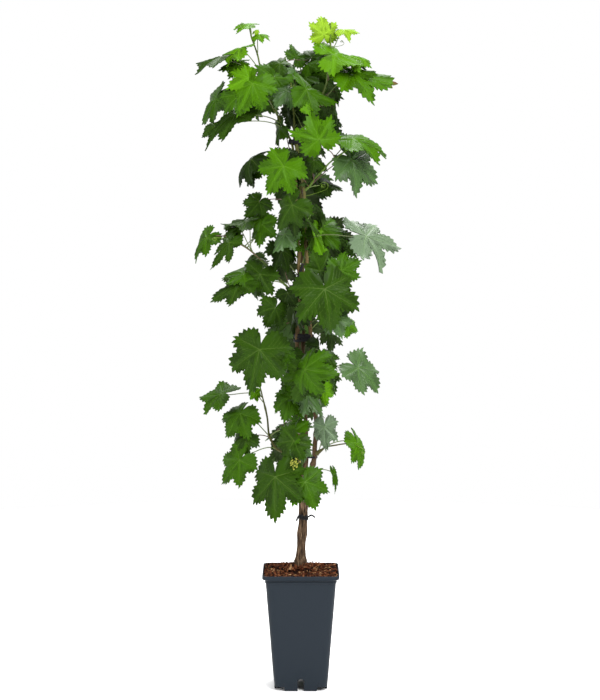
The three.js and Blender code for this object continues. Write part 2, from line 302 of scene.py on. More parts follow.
class GrapevineBarkSettings(bpy.types.PropertyGroup):
    """Size of the bark's relief."""

    relief: bpy.props.FloatProperty(
        name="Bark relief", description="Depth of the furrows in the trunk", unit="LENGTH",
        min=0, max=0.003, default=0.0011)
    node_spacing: bpy.props.FloatProperty(
        name="Node spacing", description="Distance from one swollen node of a cane to the next",
        unit="LENGTH", min=0.02, max=0.2, default=0.062)


class GrapevineLeafSettings(bpy.types.PropertyGroup):
    """Colours and shape of the leaves."""

    # The young and fresh tones are partly the real yellow-green of new leaves and partly painted light:
    # they are made lighter to paint the light that shines through the thin leaves at the top of the plant.
    young: bpy.props.FloatVectorProperty(
        name="Young", description="Colour of the newest leaves", subtype="COLOR", size=3,
        min=0, max=1, default=shade(118, 152, 32))
    fresh: bpy.props.FloatVectorProperty(
        name="Fresh", description="Colour of leaves in their first weeks", subtype="COLOR", size=3,
        min=0, max=1, default=shade(72, 115, 6))
    lush: bpy.props.FloatVectorProperty(
        name="Lush", description="Colour of leaves between fresh and full-grown", subtype="COLOR", size=3,
        min=0, max=1, default=shade(57, 96, 3))
    middle: bpy.props.FloatVectorProperty(
        name="Grown", description="Colour of full-grown leaves", subtype="COLOR", size=3,
        min=0, max=1, default=shade(46, 79, 4))
    deep: bpy.props.FloatVectorProperty(
        name="Deep", description="Colour of older leaves", subtype="COLOR", size=3,
        min=0, max=1, default=shade(36, 61, 6))
    # The dark tone is painted shade: a darker green for leaves inside the crown, where the crown shades
    # them.
    dark: bpy.props.FloatVectorProperty(
        name="Dark", description="Colour of leaves inside the crown", subtype="COLOR", size=3,
        min=0, max=1, default=shade(25, 43, 6))
    # This grey-green tone is a painted reflection: the sheen of the sky on glossy leaf tops, put into the
    # leaf's colour.
    bloomed: bpy.props.FloatVectorProperty(
        name="Grey_sheen", description="Colour of leaves with a grey reflection", subtype="COLOR", size=3,
        min=0, max=1, default=shade(58, 86, 40))
    # The pale tone, a silvery grey-green, is a painted reflection: the strong sheen of glossy leaf tops,
    # put into the colour.
    pale: bpy.props.FloatVectorProperty(
        name="Pale", description="Colour of leaves that show silvery", subtype="COLOR", size=3,
        min=0, max=1, default=shade(88, 108, 80))
    tooth: bpy.props.FloatProperty(
        name="Tooth size", description="Height of the teeth as a share of leaf length",
        min=0, max=0.15, default=0.052)
    lobing: bpy.props.FloatProperty(
        name="Lobing", description="How deeply the leaves are cut between their lobes",
        min=0, max=2, default=1.0)


class GrapevineStageSettings(bpy.types.PropertyGroup):
    """Lights and the brightness of the room round the plant."""

    key_power: bpy.props.FloatProperty(
        name="Key light", description="Power of the main soft light", min=0, max=500, default=225)
    surround: bpy.props.FloatProperty(
        name="Surround", description="Brightness of the white wall behind the plant",
        min=0, max=3, default=1.0)
    front_share: bpy.props.FloatProperty(
        name="Front share", description="Brightness of the room in front, as a share of the wall behind",
        min=0, max=1, default=0.30)


SETTINGS = {
    "grapevine_pot": GrapevinePotSettings,
    "grapevine_bark": GrapevineBarkSettings,
    "grapevine_leaves": GrapevineLeafSettings,
    "grapevine_stage": GrapevineStageSettings,
}


# ---------------------------------------------------------------- pot

RIM_HEIGHT = 8 * MM
POT_WALL = 1.8 * MM
RIM_LEDGE = 1.6 * MM
FOOT_WALL = 4 * MM
FLOOR_UNDERSIDE = 25 * MM
FOOT_HALF = 31.5 * MM
CORNER_LIFT = 7.5 * MM
NOTCH_HALF = 6.5 * MM
NOTCH_HEIGHT = 23 * MM
CORNER_RATIO = 13 / 69
FOOT_SLOPE = 0.8 * MM
RIM_STEP = 6 * MM
BOTTOM_SHARE = 103 / 138
FLOOR_TOP = 27 * MM
# Places of the points along half a side, in half widths of the notch. They crowd at its edge and
# where a foot ends.
SIDE_MARKS = np.array([
    0, 0.35, 0.7, 0.9, 0.995, 1.005, 1.1, 1.35, 1.8, 2.6, 3.6, 4.4, 4.84, 4.87, 4.97, 5.0, 5.4])


def square_ring(half, corner, spread):
    """Outline of a rounded square. spread moves the marks of its notch and feet out along each side."""
    reach = half - corner
    side = np.concatenate([-SIDE_MARKS[:0:-1], SIDE_MARKS]) * NOTCH_HALF * spread
    side = side[np.abs(side) < reach]
    side = np.concatenate([[-reach], side, [reach]])
    turn = np.radians(np.linspace(-90, 0, 9)[1:-1])
    quarter = np.concatenate([
        np.stack([side, np.full_like(side, -half)], 1),
        np.stack([reach + corner * np.cos(turn), -reach + corner * np.sin(turn)], 1),
    ])
    rings = []
    for step in range(4):
        angle = step * math.pi / 2
        spin = np.array([[math.cos(angle), math.sin(angle)], [-math.sin(angle), math.cos(angle)]])
        rings.append(quarter @ spin)
    return np.vstack(rings)


def foot_edge(plan):
    """Height of the pot's lower edge at each point of its outline: notches, feet and raised corners."""
    along = np.minimum(np.abs(plan[:, 0]), np.abs(plan[:, 1]))
    spring = NOTCH_HEIGHT - NOTCH_HALF
    arch = spring + np.sqrt(np.maximum(0, NOTCH_HALF ** 2 - along ** 2))
    past = np.clip((along - FOOT_HALF) / FOOT_SLOPE, 0, 1)
    return np.where(along < NOTCH_HALF, arch, CORNER_LIFT * past)


def build_pot():
    """The pot's shell with its rim, feet and notches, row by row up the outside and down the inside."""
    low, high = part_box("pot")
    top = high[2]
    rim_half = (high[0] - low[0]) / 2
    shoulder = top - RIM_HEIGHT
    top_half = rim_half - RIM_STEP
    bottom_half = top_half * BOTTOM_SHARE

    def half_at(height):
        return bottom_half + (top_half - bottom_half) * height / shoulder

    unit_ring = square_ring(top_half, top_half * CORNER_RATIO, top_half / bottom_half) / top_half
    rows = []

    def row(half, height):
        rows.append(np.column_stack([unit_ring * half, np.broadcast_to(height, len(unit_ring))]))

    inner_foot = half_at(0) - FOOT_WALL
    edge = foot_edge(unit_ring * half_at(0))
    row(inner_foot + 0.5 * MM, FLOOR_UNDERSIDE)
    row(inner_foot, edge + 0.6 * MM)
    row(inner_foot + 0.8 * MM, edge)
    row(half_at(0) - 0.9 * MM, edge)
    row(half_at(2 * MM) - 0.15 * MM, edge + 0.9 * MM)
    for height in (26, 45, 70, 100, 130, 160, 185, 205, 213):
        row(half_at(height * MM), height * MM)
    bands = (
        (214.2, 0.0), (214.6, 0.9), (215.4, 1.2), (217.4, 1.2), (217.9, 0.4), (shoulder / MM - 1.4, 0.5),
    )
    for height, proud in bands:
        row(half_at(height * MM) + proud * MM, height * MM)
    row(rim_half - 1.0 * MM, shoulder - 0.1 * MM)
    row(rim_half, shoulder + 0.8 * MM)
    row(rim_half, top - 1.0 * MM)
    row(rim_half - 0.35 * MM, top - 0.3 * MM)
    row(rim_half - 1.1 * MM, top)
    row(rim_half - POT_WALL + 0.3 * MM, top - 0.1 * MM)
    row(rim_half - POT_WALL, top - 0.6 * MM)
    row(rim_half - POT_WALL, shoulder + RIM_LEDGE + 0.3 * MM)
    row(half_at(shoulder) - POT_WALL + 0.6 * MM, shoulder + RIM_LEDGE)
    row(half_at(shoulder) - POT_WALL, shoulder + RIM_LEDGE - 0.5 * MM)
    for height in (200, 150, 90, 27.6):
        row(half_at(height * MM) - POT_WALL, height * MM)
    row(half_at(FLOOR_TOP) - POT_WALL - 1.5 * MM, FLOOR_TOP)
    row(0.02 * MM, FLOOR_TOP)

    points = np.vstack(rows)
    faces = grid_faces(len(rows), len(unit_ring), closed=True)
    underside = rows[0]
    middle = len(points)
    points = np.vstack([points, [0, 0, FLOOR_UNDERSIDE]])
    around = np.arange(len(underside))
    cap = np.stack([np.full(len(underside), middle), (around + 1) % len(underside), around], 1)
    heap = Heap()
    heap.add(points, np.vstack([faces, cap]), 0)
    return heap


class GRAPEVINE_OT_pot(bpy.types.Operator):
    """Make the tall square pot"""

    bl_idname = "grapevine.pot"
    bl_label = "Pot"

    def execute(self, context):
        settings = context.scene.grapevine_pot
        colour = tuple(settings.colour)
        material = grained_material(
            "pot_plastic", (scaled(colour, 0.93), scaled(colour, 1.08)), 900, settings.roughness, 0.10)
        pot = build_pot().build("pot_shell", [material])
        sharpen(pot, 32)
        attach(pot, "root")
        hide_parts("pot")
        return {"FINISHED"}


def sharpen(piece, degrees):
    """Edges that turn more than the angle show as edges, and the rest shade smoothly."""
    mesh = piece.data
    shape = bmesh.new()
    shape.from_mesh(mesh)
    limit = math.radians(degrees)
    for edge in shape.edges:
        edge.smooth = not (len(edge.link_faces) == 2 and edge.calc_face_angle(0) > limit)
    shape.to_mesh(mesh)
    shape.free()


# ---------------------------------------------------------------- growing mix

MIX_EDGE = 226 * MM
MOUND_HALF = (62 * MM, 36 * MM)
MIX_GRID = 61
CHIP_GAP = 9 * MM


def mix_height(x, y, trunk):
    """Height of the growing mix above the floor: it rises from its edge to the trunk's foot."""
    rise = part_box("substrate")[1][2] - MIX_EDGE
    across = np.hypot((x - trunk[0]) / MOUND_HALF[0], (y - trunk[1]) / MOUND_HALF[1])
    return MIX_EDGE + rise * np.sqrt(np.maximum(0, 1 - np.minimum(1, across) ** 2))


def chip(rng, length, width, thick):
    """A torn chip of bark: a thin bent plate with ragged ends."""
    steps = 4
    along = np.linspace(-0.5, 0.5, steps) * length
    taper = np.array([0.35, 1.0, 0.9, 0.3]) * rng.uniform(0.7, 1.15, steps)
    bend = rng.uniform(-0.5, 0.5) * (along / length) ** 2 * length
    skew = rng.uniform(-0.25, 0.25, steps) * width
    points = []
    for side, level in ((-0.5, 0), (0.5, 0), (0.45, 1), (-0.45, 1)):
        points.append(np.stack([along, side * width * taper + skew, bend + level * thick], 1))
    points = np.stack(points, 1).reshape(-1, 3)
    faces = grid_faces(steps, 4, closed=True)
    ends = np.array([[0, 1, 2], [0, 2, 3]])
    last = (steps - 1) * 4
    return points, np.vstack([faces, ends[:, ::-1], ends + last])


def random_turn(rng, lean):
    """A turn to any bearing, leaning from level by up to the angle given."""
    yaw = rng.uniform(0, 2 * math.pi)
    tip = rng.normal(0, lean)
    side = rng.normal(0, lean)
    a = np.array([[math.cos(yaw), -math.sin(yaw), 0], [math.sin(yaw), math.cos(yaw), 0], [0, 0, 1]])
    b = np.array([[math.cos(tip), 0, math.sin(tip)], [0, 1, 0], [-math.sin(tip), 0, math.cos(tip)]])
    c = np.array([[1, 0, 0], [0, math.cos(side), -math.sin(side)], [0, math.sin(side), math.cos(side)]])
    return a @ b @ c


class GRAPEVINE_OT_growing_mix(bpy.types.Operator):
    """Make the growing mix of torn bark chips"""

    bl_idname = "grapevine.growing_mix"
    bl_label = "Growing mix"

    def execute(self, context):
        rng = np.random.default_rng(7)
        trunk = cad_points("trunk")
        foot = trunk[trunk[:, 2] < trunk[:, 2].min() + 0.002].mean(axis=0)
        low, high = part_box("substrate")
        half = (high[0] - low[0]) / 2
        across = np.linspace(-half, half, MIX_GRID)
        x, y = np.meshgrid(across, across, indexing="ij")
        z = mix_height(x, y, foot)
        for i in range(MIX_GRID):
            for j in range(MIX_GRID):
                place = Vector((x[i, j] * 130, y[i, j] * 130, 0.3))
                z[i, j] += 0.0022 * noise.noise(place) - 0.0012
        heap = Heap()
        heap.add(np.stack([x, y, z], 2).reshape(-1, 3), grid_faces(MIX_GRID, MIX_GRID), 0)
        skirt = np.array([[-half, -half], [half, -half], [half, half], [-half, half]])
        box = np.vstack([np.column_stack([skirt * 0.90, np.full(4, MIX_EDGE - 0.003)]),
                         np.column_stack([skirt * 0.66, np.full(4, low[2] + 0.001)])])
        heap.add(box, np.vstack([grid_faces(2, 4, closed=True), [[4, 5, 6], [4, 6, 7]]]), 0)
        tones = (
            (66, 36, 22), (88, 50, 30), (44, 24, 16), (106, 66, 40),
            (136, 104, 72), (26, 16, 12), (76, 38, 22),
        )
        odds = np.array([0.20, 0.18, 0.20, 0.13, 0.08, 0.11, 0.10])
        materials = [plain_material("mix_soil", shade(28, 15, 10), 0.95, 0.03)]
        for number, tone in enumerate(tones):
            materials.append(plain_material(f"mix_chip_{number}", shade(*tone), 0.85, 0.05))
        for _ in range(context.scene.grapevine_pot.chips):
            spot = rng.uniform(-half + 0.003, half - 0.003, 2)
            if np.hypot(*(spot - foot[:2])) < CHIP_GAP:
                continue
            length = rng.uniform(0.003, 0.011) if rng.random() < 0.85 else rng.uniform(0.010, 0.017)
            points, faces = chip(rng, length, length * rng.uniform(0.18, 0.6), rng.uniform(0.0004, 0.0014))
            points = points @ random_turn(rng, 0.42).T
            ground = mix_height(np.array(spot[0]), np.array(spot[1]), foot)
            points += np.array([*spot, float(ground) + rng.uniform(-0.0005, 0.0026)])
            limit = half - 0.0008
            points[:, :2] = np.clip(points[:, :2], -limit, limit)
            heap.add(points, faces, 1 + rng.choice(len(tones), p=odds))
        mix = heap.build("growing_mix", materials, smooth=False)
        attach(mix, "root")
        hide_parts("substrate")
        return {"FINISHED"}


# ---------------------------------------------------------------- trunk, canes and shoots

BARK_THICKNESS = 1.8 * MM
LIMB_OVERLAP = 6 * MM
# Swellings of the trunk: height above its foot, size and width.
KNUCKLES = ((0.009, 0.12, 0.006), (0.060, 0.10, 0.007), (0.098, 0.12, 0.006))
STEM_STEPS = 160


def bark_swell(path, depth, furrows, seed):
    """Relief of fibrous bark: long furrows that wander, with small cross cracks."""
    height = path[:, 2]

    def swell(ring, angles):
        ring, angles = np.broadcast_arrays(ring, angles)
        change = np.empty(ring.shape)
        for i in range(ring.shape[0]):
            for j in range(ring.shape[1]):
                angle = angles[i, j]
                level = height[ring[i, j]]
                round_x = math.cos(angle)
                round_y = math.sin(angle)
                long = noise.noise(Vector((round_x * furrows, round_y * furrows, level * 38 + seed)))
                fine = noise.noise(Vector((
                    round_x * furrows * 2.7, round_y * furrows * 2.7, level * 120 + seed)))
                lump = noise.noise(Vector((round_x * 0.9, round_y * 0.9, level * 30 - seed)))
                change[i, j] = depth * (0.9 * long - 0.7 * abs(fine) + 1.0 * lump)
        return change

    return swell


def with_nodes(path, radii, spacing, size, start=0.03):
    """Radii with a swollen node at even distances along the path."""
    run = np.concatenate([[0], np.cumsum(np.linalg.norm(np.diff(path, axis=0), axis=1))])
    swollen = radii.copy()
    place = start
    while place < run[-1] - 0.01:
        swollen += size * radii * np.exp(-((run - place) / 0.0055) ** 2)
        place += spacing
    return swollen


class GRAPEVINE_OT_trunk(bpy.types.Operator):
    """Make the trunk with the bark's relief"""

    bl_idname = "grapevine.trunk"
    bl_label = "Trunk"

    def execute(self, context):
        depth = context.scene.grapevine_bark.relief
        middles, radii = centreline("trunk")
        path = smooth_path(np.column_stack([middles, radii]), 230)
        radii = path[:, 3] + BARK_THICKNESS
        path = path[:, :3]
        level = path[:, 2]
        base = level[0]
        path[:, 0] += 0.0005 * np.sin((level - base) * 95)
        path[:, 1] += 0.0006 * np.sin((level - base) * 70 + 1)
        for place, size, width in KNUCKLES:
            radii = radii * (1 + size * np.exp(-((level - base - place) / width) ** 2))
        path = np.vstack([path[0] - UP * LIMB_OVERLAP, path])
        radii = np.concatenate([radii[:1] * 1.02, radii])
        points, faces = tube(path, radii, 60, bark_swell(path, depth, 3.2, 2.0))
        heap = Heap()
        heap.add(points, faces, 0)
        bark = grained_material(
            "trunk_bark", (shade(20, 15, 11), shade(70, 54, 40), shade(124, 102, 80)), 340, 0.88, 0.7,
            stretch=(1, 1, 0.16))
        trunk = heap.build("trunk_bark", [bark])
        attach(trunk, "root")
        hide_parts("trunk")
        return {"FINISHED"}


def height_material(name, stops, roughness, low, high):
    """A grained material whose colour changes with height from one stop to the next."""
    material = grained_material(name, (stops[0], stops[0]), 700, roughness, 0.35, stretch=(1, 1, 0.12))
    nodes = material.node_tree.nodes
    links = material.node_tree.links
    surface = nodes["Principled BSDF"]
    ramp = next(node for node in nodes if node.type == "VALTORGB")
    grain = next(node for node in nodes if node.type == "TEX_NOISE")
    place = next(node for node in nodes if node.type == "TEX_COORD")
    parts = nodes.new("ShaderNodeSeparateXYZ")
    links.new(place.outputs["Object"], parts.inputs["Vector"])
    spread = nodes.new("ShaderNodeMapRange")
    spread.inputs["From Min"].default_value = low
    spread.inputs["From Max"].default_value = high
    links.new(parts.outputs["Z"], spread.inputs["Value"])
    for element in list(ramp.color_ramp.elements)[1:]:
        ramp.color_ramp.elements.remove(element)
    ramp.color_ramp.elements[0].position = 0
    ramp.color_ramp.elements[0].color = (*stops[0][:3], 1)
    for number, colour in enumerate(stops[1:], start=1):
        stop = ramp.color_ramp.elements.new(number / (len(stops) - 1))
        stop.color = (*colour[:3], 1)
    links.new(spread.outputs["Result"], ramp.inputs["Fac"])
    vary = nodes.new("ShaderNodeMix")
    vary.data_type = "RGBA"
    vary.blend_type = "OVERLAY"
    vary.inputs["Factor"].default_value = 0.55
    links.new(ramp.outputs["Color"], vary.inputs["A"])
    links.new(grain.outputs["Fac"], vary.inputs["B"])
    links.new(vary.outputs["Result"], surface.inputs["Base Color"])
    return material


class GRAPEVINE_OT_canes(bpy.types.Operator):
    """Make the three canes and the side shoots"""

    bl_idname = "grapevine.canes"
    bl_label = "Canes and shoots"

    def execute(self, context):
        settings = context.scene.grapevine_bark
        wood = (
            shade(72, 56, 40), shade(86, 66, 46), shade(92, 78, 48), shade(88, 90, 46), shade(84, 108, 38),
        )
        cane_bark = height_material("cane_bark", wood, 0.62, 0.38, 1.28)
        green = height_material(
            "green_shoot", (shade(78, 74, 40), shade(74, 92, 40), shade(84, 110, 42)), 0.5, 0.44, 1.1)
        fork = centreline("trunk")[0][-1] - UP * LIMB_OVERLAP
        for number, node in enumerate(CANES + SHOOTS):
            is_cane = node in CANES
            middles, radii = centreline(node)
            if is_cane:
                middles[0] = fork + (middles[1] - fork) * 0.12
                radii[0] = radii[2]
                radii[1] = radii[2]
            steps = 520 if is_cane else 110
            path = smooth_path(np.column_stack([middles, radii]), steps)
            radii = with_nodes(path[:, :3], path[:, 3], settings.node_spacing, 0.34, 0.03 + 0.012 * number)
            path = path[:, :3]
            run = np.linspace(0, 1, steps) * steps
            path[:, 0] += 0.0009 * np.sin(run * 0.17 + number)
            path[:, 1] += 0.0009 * np.sin(run * 0.13 + 2 * number)
            depth = 0.00035 if is_cane else 0.00012
            swell = bark_swell(path, depth, 2.4, 5.0 + number)
            points, faces = tube(path, radii, 16 if is_cane else 10, swell)
            heap = Heap()
            heap.add(points, faces, 0)
            piece = heap.build(node + "_bark", [cane_bark if is_cane else green])
            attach(piece, "root")
            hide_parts(node)
        return {"FINISHED"}


# ---------------------------------------------------------------- one leaf

# Reach of a leaf blade from its stalk, by degrees from the tip, as a share of its length.
BLADE_ANGLES = (0, 12, 30, 43, 52, 62, 80, 96, 108, 122, 140, 155, 166, 174, 180)
BLADE_REACHES = (1.0, 0.87, 0.74, 0.83, 0.91, 0.84, 0.69, 0.71, 0.75, 0.69, 0.62, 0.54, 0.40, 0.20, 0.06)
LOBE_TIPS = (0, 52, 108)
LOBES = (0, 52, -52, 108, -108)
LAST_TOOTH = 158
# Where side veins leave a main vein, as shares of its length, and the angle that they turn away by.
SIDE_VEINS = (0.20, 0.34, 0.48, 0.62, 0.75, 0.87)
SIDE_VEIN_TURN = 46
# Widths of the veins as shares of the leaf's length. The main ones stand out more underneath.
MAIN_VEIN = 0.022
UNDER_VEIN = 0.034
SIDE_VEIN = 0.010
RINGS = np.array([0.05, 0.20, 0.34, 0.47, 0.59, 0.70, 0.79, 0.87, 0.94, 1.0])
SMALL_RINGS = np.array([0.06, 0.25, 0.43, 0.60, 0.75, 0.88, 1.0])
UNDER_RINGS = np.array([0.05, 0.35, 0.65, 0.88, 1.0])
TONES = ("young", "fresh", "lush", "middle", "deep", "dark", "bloomed", "pale")
LARGE_LEAF = 55 * MM


def blade_reach(degrees, lobing):
    """How far the blade's smooth outline lies from the stalk at an angle from the tip."""
    reach = np.interp(degrees, BLADE_ANGLES, BLADE_REACHES)
    cut = 0.15 * np.exp(-((degrees - 30) / 8) ** 2) + 0.13 * np.exp(-((degrees - 80) / 10) ** 2)
    return reach - lobing * cut


def half_rim(rng, lobing, tooth, gap_between):
    """Smooth outline and toothed rim of one half of a blade, from its tip to the notch at the stalk."""
    degrees = np.linspace(0, 177, 240)
    reach = blade_reach(degrees, lobing)
    turn = np.radians(degrees)
    line = np.stack([reach * np.cos(turn), reach * np.sin(turn)], 1)
    run = np.concatenate([[0], np.cumsum(np.linalg.norm(np.diff(line, axis=0), axis=1))])
    anchors = [float(np.interp(angle, degrees, run)) for angle in (*LOBE_TIPS, LAST_TOOTH)]
    tips = []
    sizes = []
    for start, end in zip(anchors, anchors[1:]):
        count = max(3, round((end - start) / gap_between))
        steps = np.arange(count) + np.concatenate([[0], rng.uniform(-0.16, 0.16, count - 1)])
        tips.extend(start + (end - start) * steps / count)
        sizes.extend([1.45] + list(rng.uniform(0.7, 1.15, count - 1)))
    tips.append(anchors[-1])
    sizes.append(0.7)
    tips = np.array(tips)
    sizes = np.array(sizes)
    gaps = np.diff(tips, append=tips[-1] + 0.09)
    places = []
    heights = []
    for number, (tip, gap, size) in enumerate(zip(tips, gaps, sizes)):
        if number:
            places.append(tip - 0.24 * gaps[number - 1])
            heights.append(0.30 * size)
        places.append(tip)
        heights.append(size)
        places.append(tip + 0.24 * gap)
        heights.append(0.26 * size)
        places.append(tip + 0.52 * gap)
        heights.append(-0.55)
    tail = np.linspace(places[-1], run[-1], 6)[1:]
    places = np.concatenate([places, tail])
    heights = np.concatenate([heights, np.zeros(5)])
    smooth = np.stack([np.interp(places, run, line[:, axis]) for axis in (0, 1)], 1)
    ahead = np.stack([np.interp(places + 0.01, run, line[:, axis]) for axis in (0, 1)], 1)
    behind = np.stack([np.interp(places - 0.01, run, line[:, axis]) for axis in (0, 1)], 1)
    tangent = ahead - behind
    tangent /= np.maximum(1e-9, np.linalg.norm(tangent, axis=1))[:, None]
    outward = np.stack([tangent[:, 1], -tangent[:, 0]], 1)
    outward *= np.sign(np.sum(outward * smooth, axis=1))[:, None]
    outward[0] = (1, 0)
    tangent[0] = 0
    rim = smooth + tooth * heights[:, None] * (outward - 0.38 * np.maximum(0, heights)[:, None] * tangent)
    return smooth, rim


def distance_to(points, starts, ends):
    """Distance from each point to the nearest of the straight lines."""
    span = ends - starts
    length = np.maximum(1e-9, np.sum(span * span, axis=1))
    offset = points[:, None, :] - starts[None, :, :]
    share = np.clip(np.sum(offset * span[None], axis=2) / length[None], 0, 1)
    nearest = starts[None] + share[:, :, None] * span[None]
    return np.linalg.norm(points[:, None, :] - nearest, axis=2).min(axis=1)


def vein_lines(lobing):
    """The five main veins and the side veins of a blade, as straight lines."""
    mains = []
    for tip in LOBE_TIPS:
        for side in ((1,) if tip == 0 else (1, -1)):
            turn = math.radians(tip * side)
            reach = float(blade_reach(np.array([tip]), lobing)[0]) * 0.97
            mains.append((0.0, 0.0, reach * math.cos(turn), reach * math.sin(turn)))
    mains = np.array(mains)
    sides = []
    for number, (_, _, x, y) in enumerate(mains):
        direction = unit(np.array([x, y]))
        length = math.hypot(x, y)
        for share in SIDE_VEINS:
            for side in (1, -1):
                start = direction * length * (share + 0.035 * side)
                turn = side * math.radians(SIDE_VEIN_TURN)
                course = np.array([
                    direction[0] * math.cos(turn) - direction[1] * math.sin(turn),
                    direction[0] * math.sin(turn) + direction[1] * math.cos(turn),
                ])
                end = None
                for step in np.arange(0.04, 0.62, 0.03):
                    point = start + course * step
                    angle = abs(math.degrees(math.atan2(point[1], point[0])))
                    limit = 0.95 * float(blade_reach(np.array([angle]), lobing)[0])
                    others = np.delete(mains, number, axis=0)
                    near = distance_to(point[None], others[:, :2], others[:, 2:])[0]
                    if math.hypot(*point) > limit or near < 0.06:
                        break
                    end = point
                if end is not None and np.linalg.norm(end - start) > 0.07:
                    sides.append((*start, *end))
    return mains, np.array(sides)


class Blade:
    """The shape of one leaf blade: flat outline, veins, and how it bends."""

    def __init__(self, rng, lobing, tooth, gap_between, habit):
        left_smooth, left_rim = half_rim(rng, lobing, tooth, gap_between)
        right_smooth, right_rim = half_rim(rng, lobing, tooth, gap_between)
        flip = np.array([1, -1])
        self.smooth = np.vstack([left_smooth[:0:-1] * flip, right_smooth])
        self.rim = np.vstack([left_rim[:0:-1] * flip, right_rim])
        self.mains, self.sides = vein_lines(lobing)
        self.habit = habit
        self.wave_turn = rng.uniform(0, 2 * math.pi, 3)
        self.lobe_lift = rng.normal(-0.03, 0.17, 5)
        self.width = habit.get("width", 1.0)

    def lift(self, flat, raised, quilted=True):
        """Flat points of the blade as bent points in space, raised a little above the surface."""
        habit = self.habit
        main = distance_to(flat, self.mains[:, :2], self.mains[:, 2:])
        side = distance_to(flat, self.sides[:, :2], self.sides[:, 2:])
        x = flat[:, 0]
        y = flat[:, 1] * self.width
        spread = np.hypot(x, y)
        angle = np.arctan2(y, x)
        z = 0.062 * (1 - np.exp(-main / 0.12))
        if quilted:
            z += 0.020 * (1 - np.exp(-(side / 0.034) ** 2))
        z += habit["fold"] * np.sqrt(y * y + 0.0016) * (0.6 + 0.4 * np.clip(x, 0, 1))
        waves = (
            np.sin(3 * angle + self.wave_turn[0]) * 0.5
            + np.sin(5 * angle + self.wave_turn[1]) * 0.35
            + np.sin(11 * angle + self.wave_turn[2]) * 0.16
        )
        z += habit["wave"] * waves * spread ** 2.4
        for number, tip in enumerate(LOBES):
            away = np.abs(np.angle(np.exp(1j * (angle - math.radians(tip)))))
            window = np.exp(-(away / 0.42) ** 2)
            z += self.lobe_lift[number] * window * np.maximum(0, spread - 0.30) ** 1.3
        z += raised
        bend = -habit["droop"]
        if abs(bend) > 1e-3:
            turn = x * bend
            x, z = np.sin(turn) / bend - z * np.sin(turn), (1 - np.cos(turn)) / bend + z * np.cos(turn)
        bend = -habit["arch"]
        if abs(bend) > 1e-3:
            turn = y * bend
            y, z = np.sin(turn) / bend - z * np.sin(turn), (1 - np.cos(turn)) / bend + z * np.cos(turn)
        twist = habit["twist"] * x
        y, z = y * np.cos(twist) - z * np.sin(twist), y * np.sin(twist) + z * np.cos(twist)
        return np.stack([x, y, z], 1)

    def ribbon(self, line, width, raised, steps):
        """A vein as a narrow strip that narrows to nothing along its line."""
        start = line[:2]
        end = line[2:]
        share = np.linspace(0, 1, steps)[:, None]
        across = unit(np.array([-(end - start)[1], (end - start)[0]]))
        curve = 0.10 * np.linalg.norm(end - start) * share * (1 - share)
        middle = start + (end - start) * share
        if np.linalg.norm(start) > 0.01:
            middle = middle + np.sign(np.dot(across, start)) * across * curve
        half = width * (1 - 0.82 * share) / 2
        points = np.stack([middle - across * half, middle + across * half], 1).reshape(-1, 2)
        return self.lift(points, raised), grid_faces(steps, 2)


def add_leaf(heap, rng, settings, place, forward, normal, length, tone, habit, dry=0.0):
    """Adds one leaf: blade above and below, and veins on both sides."""
    lobing = settings.lobing * habit.get("lobing", 1.0) * rng.uniform(0.75, 1.25)
    large = length > LARGE_LEAF
    tooth = settings.tooth * rng.uniform(0.9, 1.15) * (1.0 if large else 1.2)
    blade = Blade(rng, lobing, tooth, 0.128 if large else 0.165, habit)
    side = np.cross(normal, forward)
    spin = np.stack([forward, side, normal])
    columns = len(blade.rim)
    rings = RINGS if large else SMALL_RINGS
    flat = blade_grid(blade, rings)
    faces = grid_faces(len(rings), columns)
    tone_number = TONES.index(tone)
    middles = flat[faces].mean(axis=1)
    near = distance_to(middles, blade.mains[:, :2], blade.mains[:, 2:])
    # A wavy pattern that picks the spots of painted shade between the veins.
    shade_spots = (
        np.sin(middles[:, 0] * 9 + blade.wave_turn[0]) + np.sin(middles[:, 1] * 11 + blade.wave_turn[1])
    )
    slots = np.full(len(faces), 3 * tone_number)
    # Faces close to the main veins take the lighter copy of the tone: painted light along the veins.
    slots[near < 0.045] += 1
    # Faces in spots away from the main veins take the darker copy of the tone: painted shade between the
    # veins.
    slots[(near > 0.07) & (shade_spots > 0.35)] += 2
    if dry > 0:
        slots[middles[:, 0] > 1 - dry] = DRY_SLOT

    def put(points, strip, number):
        heap.add(place + length * points @ spin, strip, number)

    above = blade.lift(flat, 0.0)
    below = blade.lift(blade_grid(blade, UNDER_RINGS), -0.006, quilted=False)
    put(above, faces, slots)
    put(below, grid_faces(len(UNDER_RINGS), columns)[:, ::-1], UNDER_SLOT + tone_number)
    put(np.vstack([above[-columns:], below[-columns:]]), grid_faces(2, columns), slots[-1])
    for line in blade.mains:
        points, strip = blade.ribbon(line, MAIN_VEIN, 0.005, 10)
        put(points, strip, VEIN_SLOT + tone_number)
        points, strip = blade.ribbon(line, UNDER_VEIN, -0.013, 8)
        put(points, strip[:, ::-1], UNDER_VEIN_SLOT + tone_number)
    for line in blade.sides:
        points, strip = blade.ribbon(line, SIDE_VEIN, 0.004, 4)
        put(points, strip, VEIN_SLOT + tone_number)


def blade_grid(blade, rings):
    """Flat points of the blade, ring by ring out to its toothed rim."""
    grow = np.clip((rings - 0.72) / 0.28, 0, 1)[:, None, None] ** 1.2
    flat = rings[:, None, None] * (blade.smooth[None] * (1 - grow) + blade.rim[None] * grow)
    return flat.reshape(-1, 2)


UNDER_SLOT = 3 * len(TONES)
VEIN_SLOT = UNDER_SLOT + len(TONES)
UNDER_VEIN_SLOT = VEIN_SLOT + len(TONES)
DRY_SLOT = UNDER_VEIN_SLOT + len(TONES)


